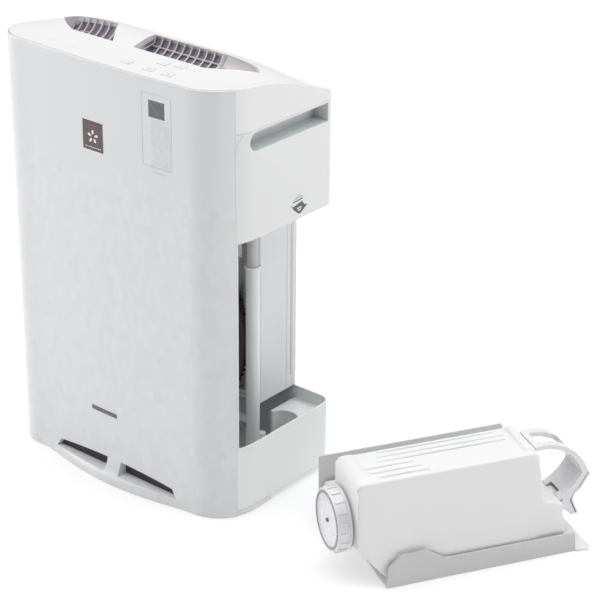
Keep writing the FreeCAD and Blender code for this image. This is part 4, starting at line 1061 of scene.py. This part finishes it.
def make_outlet_grids():
    """Hollow grids of the two air outlets, with a dark sheet of painted shade behind and a bead
    at the end.
    """
    for word, side in (("right", 1), ("left", -1)):
        node = word + "_outlet_grille"
        low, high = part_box(node)
        line = hollow_line(node)
        inner = low.x + 1.5 * MM if side > 0 else high.x - 1.5 * MM
        outer = side * GRID_END[word]
        middle = (inner + outer) / 2
        wide = abs(outer - inner)
        grid = grown(word + "_outlet_grid", RIBS, "grille_grey",
                     Ribs=int(wide / GRID_PITCH) + 1, Rods=5, Start=Vector((inner, 0, 0)),
                     Step=Vector((side * GRID_PITCH, 0, 0)), Top=line[0], Bend=line[1],
                     Foot=line[2], Rib=Vector((1.7 * MM, 2.0 * MM, 0)),
                     Rod=Vector((wide, 1.6 * MM, 1.6 * MM)), Row_Middle=Vector((middle, 0, 0)))
        settle(follow_crown(grid), "cabinet", "grille_grey", node)
        # Dark sheet of painted shade behind the grid's cells.
        hollow_sheet(word + "_outlet_shade", [(inner, 0), (middle, 0), (outer, 0)], line,
                     2.2 * MM, "grille_shade")
        post = outer + (1.5 * MM if side > 0 else 0.0)
        for k, shift in enumerate((-2.4, 0.0)):
            at = Vector((post + side * shift * MM, 0, 0.8 * MM))
            bead = [along_hollow(line, t / 14) + at for t in range(15)]
            grille_rod("%s_grid_end_%d" % (word, k), bead, 0.9)


def make_right_outlet_ends():
    """Smooth scoop beyond the right grid, and a sheet of painted shade on the slanted wall at
    its inner end.
    """
    node = "right_outlet_grille"
    line = hollow_line(node)
    spans = [((107 + 8 * k) * MM, 1.9 * MM * k) for k in range(9)]
    hollow_sheet("right_outlet_scoop", spans, line, 0.4 * MM, "scoop_pale")
    seam = [along_hollow(line, 0.34) + Vector(((109 + 7 * k) * MM, 0, (0.8 + 0.25 * k) * MM))
            for k in range(7)]
    grille_rod("scoop_seam", seam, 0.45)
    low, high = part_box(node)
    floor = low.z + 3 * MM
    face = [(low.y + 2 * MM, floor), (high.y - 1 * MM, floor),
            (high.y - 1 * MM, high.z - 2 * MM), (low.y + 4 * MM, high.z - 4.5 * MM)]
    # Thin dark sheet of painted shade laid against the white end wall.
    wall = plate_from("right_outlet_end", face, -0.5 * MM, 0.0, "x", "grille_shade")
    lean = Matrix.Rotation(math.atan2(9.4, 52.5), 4, "Z")
    wall.data.transform(Matrix.Translation((-5.7 * MM, low.y, 0)) @ lean
                        @ Matrix.Translation((0, -low.y, 0)))
    settle(wall, "cabinet", "grille_grey")
    for k, depth in enumerate((4, 17)):
        start = Vector((-5.2 * MM, low.y + 3 * MM, high.z - (5 + depth) * MM))
        stop = Vector((-14.0 * MM, high.y - 1.5 * MM, high.z - (2 + depth) * MM))
        grille_rod("end_rod_%d" % k, [start, (start + stop) / 2, stop], 0.7)


# Strokes (x, y, wide, deep) of each key's printed sign about the key's middle
KEY_SIGNS = {
    "power_key": [],
    "mode_key": [(-3, -2, 6, 0.6), (-3, 0, 6, 0.6), (-3, 2, 6, 0.6)],
    "fan_speed_key": [(-3, -0.3, 6, 0.6), (-0.3, -2.6, 0.6, 5.2), (-2.4, 1.6, 1.4, 0.6),
                      (1.0, -2.2, 1.4, 0.6)],
    "humidify_key": [(-1.6, -2, 3.2, 0.6), (-2.2, -1.4, 0.6, 1.6), (1.6, -1.4, 0.6, 1.6),
                     (-0.3, 1.2, 0.6, 1.4)],
    "light_key": [(-1.0, -1.0, 2.0, 2.0), (-2.8, -0.3, 1.0, 0.6), (1.8, -0.3, 1.0, 0.6)],
}


def open_ring():
    """Short strokes round most of a circle, in millimetres."""
    strokes = []
    for k in range(10):
        start = k * 0.49 - 0.6
        corners = ((2.4, start), (3.0, start), (3.0, start + 0.4), (2.4, start + 0.4))
        strokes.append([(r * math.cos(a), r * math.sin(a)) for r, a in corners])
    return strokes


def draped_marks(name, outlines, node, material, body):
    """Thin printed shapes laid on the top of a node."""
    surface = surface_of(node)
    bm = bmesh.new()
    for outline in outlines:
        ring = []
        for x, y in outline:
            top = height_over(surface, x, y)
            if top is not None:
                ring.append(bm.verts.new((x, y, top + 0.06 * MM)))
        if len(ring) > 2:
            bm.faces.new(ring)
    for face in bm.faces:
        face.normal_update()
        if face.normal.z < 0:
            face.normal_flip()
    piece = thickened(built(name, bm, material), 0.08 * MM, 0.0)
    return settle(piece, body, "key_white")


def make_keys():
    """Soft keys with their printed signs and the small lamps beside them."""
    lamps = []
    for key, strokes in KEY_SIGNS.items():
        softened(key, key, "key_white", "key_white", 0.5)
        low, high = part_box(key)
        at = (low + high) / 2
        shapes = [oblong(*stroke) for stroke in strokes] or open_ring()
        sign = [[(at.x + a * MM, at.y + b * MM) for a, b in shape] for shape in shapes]
        draped_marks(key + "_sign", sign, key, "print_grey", key)
        for shift in (-4.0, -0.6, 2.8):
            lamps.append(oblong(at.x + shift * MM, high.y + 3.0 * MM, 1.2 * MM, 1.1 * MM))
    lamps += [oblong((-150 + k * 6.5) * MM, -92 * MM, 3.4 * MM, 0.9 * MM) for k in range(16)]
    draped_marks("strip_marks", lamps, "top_cover", "print_faint", "cabinet")


# ------------------------------------------------------------------ bay and wheel

def make_wheel():
    """Ribs and face ring of the humidifying wheel."""
    centre, size = middle_and_size("wheel_filter")
    radius = size.x / 2
    ribs = grown("wheel_ribs", RING, "wheel_brown", Count=48, Radius=radius * 0.5,
                 Block=Vector((radius * 0.7, 1.0 * MM, size.y + 0.8 * MM)),
                 Middle=centre, Turn=Euler(UPRIGHT))
    settle(ribs, "wheel", "wheel_brown")
    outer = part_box("wheel_frame")
    front = Vector((centre.x, outer[0].y, centre.z))
    edge = (outer[1].x - outer[0].x) / 2 / MM
    profile = [(edge - 34, 0.2), (edge - 32, -0.5), (edge - 2, -0.7), (edge - 0.6, 0.2),
               (edge - 0.6, 3), (edge - 34, 3), (edge - 34, 0.2)]
    face = turned_piece("wheel_face", profile, front, Vector((0, 1, 0)), "wheel_brown", 128)
    settle(face, "wheel", "wheel_brown")


def make_bay_walls():
    """Plate above the wheel, and two low folds on the inner wall."""
    back = plate_from("bay_back", in_mm(oblong(50, 331, 72, 69)), 15 * MM, 15.8 * MM, "y",
                      "inner_white")
    settle(back, "cabinet", "inner_white")
    low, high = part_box("inner_wall")
    for word, y in (("front", low.y + 3 * MM), ("rear", high.y - 11 * MM)):
        route = [Vector((high.x + 0.1 * MM, y, z * MM)) for z in range(112, 402, 16)]
        fold = swept("wall_fold_" + word, route, 0.5 * MM, "inner_white", 6)
        settle(fold, "cabinet", "inner_white")


# ------------------------------------------------------------------ rear

def make_prefilter():
    """Crossed threads of the prefilter behind the rear panel's slots."""
    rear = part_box("prefilter_mesh")[1].y
    middle, size = middle_and_size("prefilter_mesh")
    threads = field("prefilter_threads", "prefilter_grey", 150, 1, size.x - 2 * MM, 0,
                    (0.6 * MM, size.z, 0.6 * MM), (middle.x, rear + 0.1 * MM, middle.z))
    settle(threads, "rear_cover", "prefilter_grey")
    cross = field("prefilter_cross", "prefilter_grey", 1, 210, 0, size.z - 2 * MM,
                  (size.x, 0.6 * MM, 0.6 * MM), (middle.x, rear + 0.15 * MM, middle.z))
    settle(cross, "rear_cover", "prefilter_grey")


def make_carbon_cells():
    """Cell walls on both faces of the carbon core."""
    low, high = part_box("carbon_core")
    middle, size = middle_and_size("carbon_core")
    for word, y in (("front", low.y), ("rear", high.y)):
        name = "carbon_cells_" + word
        at = (middle.x, y, middle.z)
        up = field(name + "_up", "carbon_black", 44, 1, size.x, 0,
                   (1.0 * MM, size.z, 2.0 * MM), at)
        level = field(name + "_level", "carbon_black", 1, 70, 0, size.z,
                      (size.x, 1.0 * MM, 2.0 * MM), at)
        for cells in (up, level):
            settle(cells, "carbon", "carbon_black")


def make_rear_catches():
    """Two round catches high on the rear panel."""
    profile = [(0, 0), (7, 0), (8, 0.4), (7, 1.2), (3, 0.9), (0, 0.8)]
    for k, side in enumerate((-1, 1)):
        at = Vector((side * 60 * MM, REAR - 0.2 * MM, 530 * MM))
        catch = turned_piece("rear_catch_%d" % k, profile, at, Vector((0, 1, 0)),
                             "key_white", 32)
        settle(catch, "rear_cover", "inner_white")


# ------------------------------------------------------------------ water tank
# u runs along the tank from the cap, v across it and w up, in millimetres.

TANK = Matrix.Translation(TANK_AT) @ Matrix.Rotation(TANK_TURN, 4, "Z")
ALONG = TANK.to_3x3() @ Vector((1, 0, 0))
ACROSS = TANK.to_3x3() @ Vector((0, 1, 0))


def tank_point(u, v, w):
    """Place on the tank, turned and moved to where it lies."""
    return TANK @ (Vector((u, v, w)) * MM)


def slab(bm, outline, low, high):
    """Closed prism on an outline in the tank's upright plane, between two breadths."""
    return prism(bm, [tank_point(u, low, w) for u, w in outline],
                 [tank_point(u, high, w) for u, w in outline])


# Outline (u, w), then the two breadths it stands between
BOTTLE_SLABS = (
    ([(8, 4.5), (-38, 58), (-38.5, 144), (-34, 150.5), (208, 150.5), (214, 145), (222, 79),
      (250, 70), (255.5, 4.5)], 6.5, 91),
    ([(8, 4.5), (-16, 31), (-16, 58.5), (250, 58.5), (255.5, 4.5)], 60, 185.5),
    ([(-10, 60), (-10, 96), (206, 120), (214, 60)], 88, 112),
    ([(-33, 120), (-33, 153.5), (-19, 153.5), (-17, 120)], 30, 88),
    ([(196, 120), (198, 154), (208, 154), (213, 148), (216, 120)], 20, 88),
    ([(30, 4.5), (8, 40), (60, 44), (210, 30), (214, 4.5)], 5.2, 20),
)
NECK = [(0, 0), (36.4, 0), (36.4, 17), (43, 17.5), (45, 30), (0, 30)]
# Ribs on the bottle's top: where they start and end along it, and how far across
BOTTLE_RIBS = ((-4, 64, 26), (-12, 58, 38), (-16, 52, 50), (8, 186, 62), (12, 190, 73),
               (16, 178, 84))
LEAN_U = -38
LEAN_V = 46


def make_bottle():
    """Blown milky bottle: prisms and the neck welded into one soft skin."""
    bm = bmesh.new()
    for outline, low, high in BOTTLE_SLABS:
        slab(bm, outline, low, high)
    turned_form(bm, NECK, tank_point(-56, NECK_V, NECK_W), ALONG, 48)
    bottle = built("bottle_skin", bm, "bottle_milk", 180)
    weld = bottle.modifiers.new("Weld", "REMESH")
    weld.mode = "VOXEL"
    weld.voxel_size = 2.2 * MM
    weld.use_smooth_shade = True
    soften = bottle.modifiers.new("Soften", "SMOOTH")
    soften.factor = 0.5
    soften.iterations = 7
    baked(bottle, "bottle_milk")
    lean_front_wall(bottle)
    settle(bottle, "tank", "bottle_milk", "tank_bottle")
    steps = 12
    for k, (start, end, v) in enumerate(BOTTLE_RIBS):
        route = [tank_point(start + (end - start) * s / steps, v,
                            149.6 + 0.8 * math.sin(math.pi * s / steps))
                 for s in range(steps + 1)]
        rib = swept("bottle_rib_%d" % k, route, 2.6 * MM, "bottle_milk", 14)
        settle(rib, "tank", "bottle_milk")


def lean_front_wall(bottle):
    """Lean the bottle's near wall inwards towards its top."""
    inward = TANK.inverted()
    for vertex in bottle.data.vertices:
        place = (inward @ vertex.co) / MM
        if place.x > LEAN_U and place.y < LEAN_V:
            fade = (LEAN_V - place.y) / 40
            place.y += 7.5 * fade * max(0.0, min(1.0, (place.z - 28) / 110))
            vertex.co = TANK @ (place * MM)


# (radius, distance behind the cap's face) round the neck's axis
CAP_SHELL = [(0, 1.6), (33.5, 1.6), (34.4, 0.6), (36, 0.1), (39.6, 0.3), (41.2, 1.6),
             (41.8, 4), (42.2, 15), (43.6, 16), (43.6, 18.5), (38, 18.5), (37.6, 3.4), (0, 3.4)]
CAP_RING = [(35.0, 0.8), (35.4, -0.5), (38.6, -0.5), (39.6, 0.8), (35.0, 0.8)]
VALVE_PIN = [(0, -1.4), (1.8, -1.2), (2.6, -0.4), (2.7, 16), (9, 17), (9, 20), (0, 20)]


def make_cap():
    """Screw cap with its grey ring, small pin and grip ribs."""
    face = tank_point(-60.3, NECK_V, NECK_W)
    shell = turned_piece("cap_shell", CAP_SHELL, face, ALONG, "cap_white", 96)
    settle(shell, "cap", "cap_white", "tank_cap")
    ring = turned_piece("cap_ring", CAP_RING, face, ALONG, "ring_violet", 96)
    settle(ring, "cap", "seal_grey")
    ribs = grown("cap_ribs", RING, "cap_white", Count=18, Radius=42.4 * MM,
                 Block=Vector((1.8, 3.2, 12)) * MM, Middle=tank_point(-51.5, NECK_V, NECK_W),
                 Turn=ALONG.to_track_quat("Z", "Y").to_euler())
    settle(ribs, "cap", "cap_white")
    pin = turned_piece("valve_pin", VALVE_PIN, face, ALONG, "seal_grey", 32)
    settle(pin, "valve", "seal_grey", "cap_valve")


def make_casing_floor():
    """Lighter bottom sheet of the grey sleeve under the bottle."""
    corners = [(-1, 2.8), (266, 2.8), (266, -3), (286, -5), (287.5, 20), (284, 189), (2, 189)]
    low, high = [[tank_point(u, v, w) for u, v in corners] for w in (2.7, 3.2)]
    sheet = built("casing_floor", prism(bmesh.new(), low, high), "casing_light")
    settle(sheet, "tank", "casing_grey")


# Bent strap (u, w), measured from the handle's pivot
PIVOT = (262, 56)
STRAP = [(14.5, -21), (22.8, -21), (13.6, -1), (16.8, 10), (25.4, 18), (37.4, 38),
         (39.5, 37), (27.4, 16), (18.8, 8.6), (15.8, 0), (24.6, -20), (24.6, -22.6),
         (14.5, -22.6)]


def make_handle_fittings():
    """Light strap on the handle, and the hinge bracket's cheek with its two bosses."""
    curve = [(PIVOT[0] + u, PIVOT[1] + w) for u, w in STRAP]
    strap = built("handle_strap", slab(bmesh.new(), curve, 35, 72), "casing_light", 40)
    settle(rounded(strap, 0.4), "handle", "cap_white")
    for k, (u, w, size) in enumerate(((247, 64, 3.2), (246, 50, 3.4))):
        profile = [(0, -2), (size * 0.45, -2), (size * 0.5, -0.6), (size * 0.75, -0.6),
                   (size, -1.6), (size, 6), (0, 6)]
        boss = turned_piece("bracket_boss_%d" % k, profile, tank_point(u, 44, w), ACROSS,
                            "steel", 28)
        settle(boss, "tank", "steel")
    outline = [(244, 44), (258, 46), (260, 60), (252, 70), (244, 70)]
    cheek = built("bracket_cheek", slab(bmesh.new(), outline, 42, 50), "casing_light", 40)
    settle(rounded(cheek, 0.8), "tank", "casing_grey")


# ------------------------------------------------------------------ carried-over nodes

CARRIED = {
    "indicator_plate": "plate_dark", "display_window": "window_dark",
    "badge": "badge_grey", "base_pan": "inner_white",
    "rubber_feet": "foot_rubber", "lower_mouth": "duct_dark", "power_inlet": "part_black",
    "fan_bulkhead": "inner_white", "filter_frame": "inner_white", "fan_impeller": "fan_grey",
    "motor_shaft": "steel", "fan_motor": "motor_case", "scroll_housing": "inner_white",
    "control_board": "board_green", "dust_sensor": "part_black",
    "ion_generator": "part_black", "wheel_filter": "wheel_fabric",
    "drive_pinion": "gear_white", "wheel_motor": "motor_case", "hepa_pleats": "filter_white",
    "carbon_core": "carbon_black", "prefilter_mesh": "prefilter_grey",
    "cap_seal": "seal_grey", "rear_screws": "steel",
}


def coat_carried_nodes():
    """Finishes of the nodes that keep their own shape."""
    for node, material in CARRIED.items():
        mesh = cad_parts[node].data
        mesh.materials.clear()
        mesh.materials.append(FINISHES[material])


# ------------------------------------------------------------------ room, light, camera

def make_floor():
    """Plain pale floor, large enough to fill the view."""
    reach = 14.0
    mesh = bpy.data.meshes.new("floor")
    corners = [(x, y, 0) for x, y in oblong(-reach, -reach, 2 * reach, 2 * reach)]
    mesh.from_pydata(corners, [], [(0, 1, 2, 3)])
    material = bpy.data.materials.new("floor_pale")
    material.use_nodes = True
    shader = material.node_tree.nodes["Principled BSDF"]
    settings = {"Base Color": (0.70, 0.70, 0.70, 1), "Roughness": 0.9,
                "Specular IOR Level": 0.1, "Emission Color": (1, 1, 1, 1),
                "Emission Strength": 0.32}
    for label, value in settings.items():
        shader.inputs[label].default_value = value
    mesh.materials.append(material)
    new_object("floor", mesh)


def soft_box(name, at, aim, size, power):
    """Rectangular lamp turned to face a point."""
    lamp = bpy.data.lights.new(name, "AREA")
    lamp.shape = "RECTANGLE"
    lamp.size, lamp.size_y = size
    lamp.energy = power
    holder = new_object(name, lamp)
    holder.location = at
    holder.rotation_euler = (Vector(aim) - Vector(at)).to_track_quat("-Z", "Y").to_euler()


def light_room():
    """Pale room, bright overhead and dim on the viewer's side, with three soft lamps."""
    world = bpy.data.worlds.new("pale_room")
    bpy.context.scene.world = world
    world.use_nodes = True
    tree = world.node_tree
    back = tree.nodes["Background"]
    way = tree.nodes.new("ShaderNodeTexCoord").outputs["Generated"]
    toward = tree.nodes.new("ShaderNodeVectorMath")
    toward.operation = "DOT_PRODUCT"
    toward.inputs[1].default_value = (0.62, -0.78, 0.0)
    link(tree, way, toward.inputs[0])
    walls = ranged(tree, toward.outputs["Value"], -0.1, 0.85, 0.42, 0.01)
    ceiling = ranged(tree, part_of(tree, way, "Z"), 0.5, 0.88, 0.0, 1.42)
    link(tree, math_node(tree, "ADD", walls, ceiling), back.inputs["Strength"])
    back.inputs["Color"].default_value = (1, 1, 1, 1)
    soft_box("left_lamp", (-2.7, -1.5, 1.3), (-0.1, -0.1, 0.35), (1.4, 2.0), 32)
    soft_box("right_lamp", (2.9, 1.1, 1.4), (0.2, 0, 0.35), (1.4, 2.0), 17)
    soft_box("overhead", (0.3, 0.4, 3.2), (0.2, 0, 0.2), (2.4, 2.4), 12)
    bpy.context.scene.view_settings.view_transform = "Standard"


def make_camera():
    """Camera above the front right corner."""
    lens = bpy.data.cameras.new("camera")
    lens.lens = 120.6
    lens.sensor_width = 36.0
    camera = new_object("camera", lens)
    tilt, swing, lean = (math.radians(angle) for angle in (25.66, 39.49, -0.56))
    ahead = Vector((-math.sin(swing) * math.cos(tilt), math.cos(swing) * math.cos(tilt),
                    -math.sin(tilt)))
    right = Vector((math.cos(swing), math.sin(swing), 0))
    down = ahead.cross(right)
    across = math.cos(lean) * right + math.sin(lean) * down
    below = -math.sin(lean) * right + math.cos(lean) * down
    turn = Matrix((across, -below, -ahead)).transposed()
    camera.matrix_world = Matrix.Translation((1.7274, -1.8109, 1.4365)) @ turn.to_4x4()
    bpy.context.scene.camera = camera


make_front_shell()
make_lower_mesh()
make_film_print()
make_plate_sign()
make_skins()
make_side_bead()
make_side_label()
make_outlet_grids()
make_right_outlet_ends()
make_keys()
make_wheel()
make_bay_walls()
make_prefilter()
make_carbon_cells()
make_rear_catches()
make_bottle()
make_cap()
make_casing_floor()
make_handle_fittings()
coat_carried_nodes()
make_floor()
light_room()
make_camera()
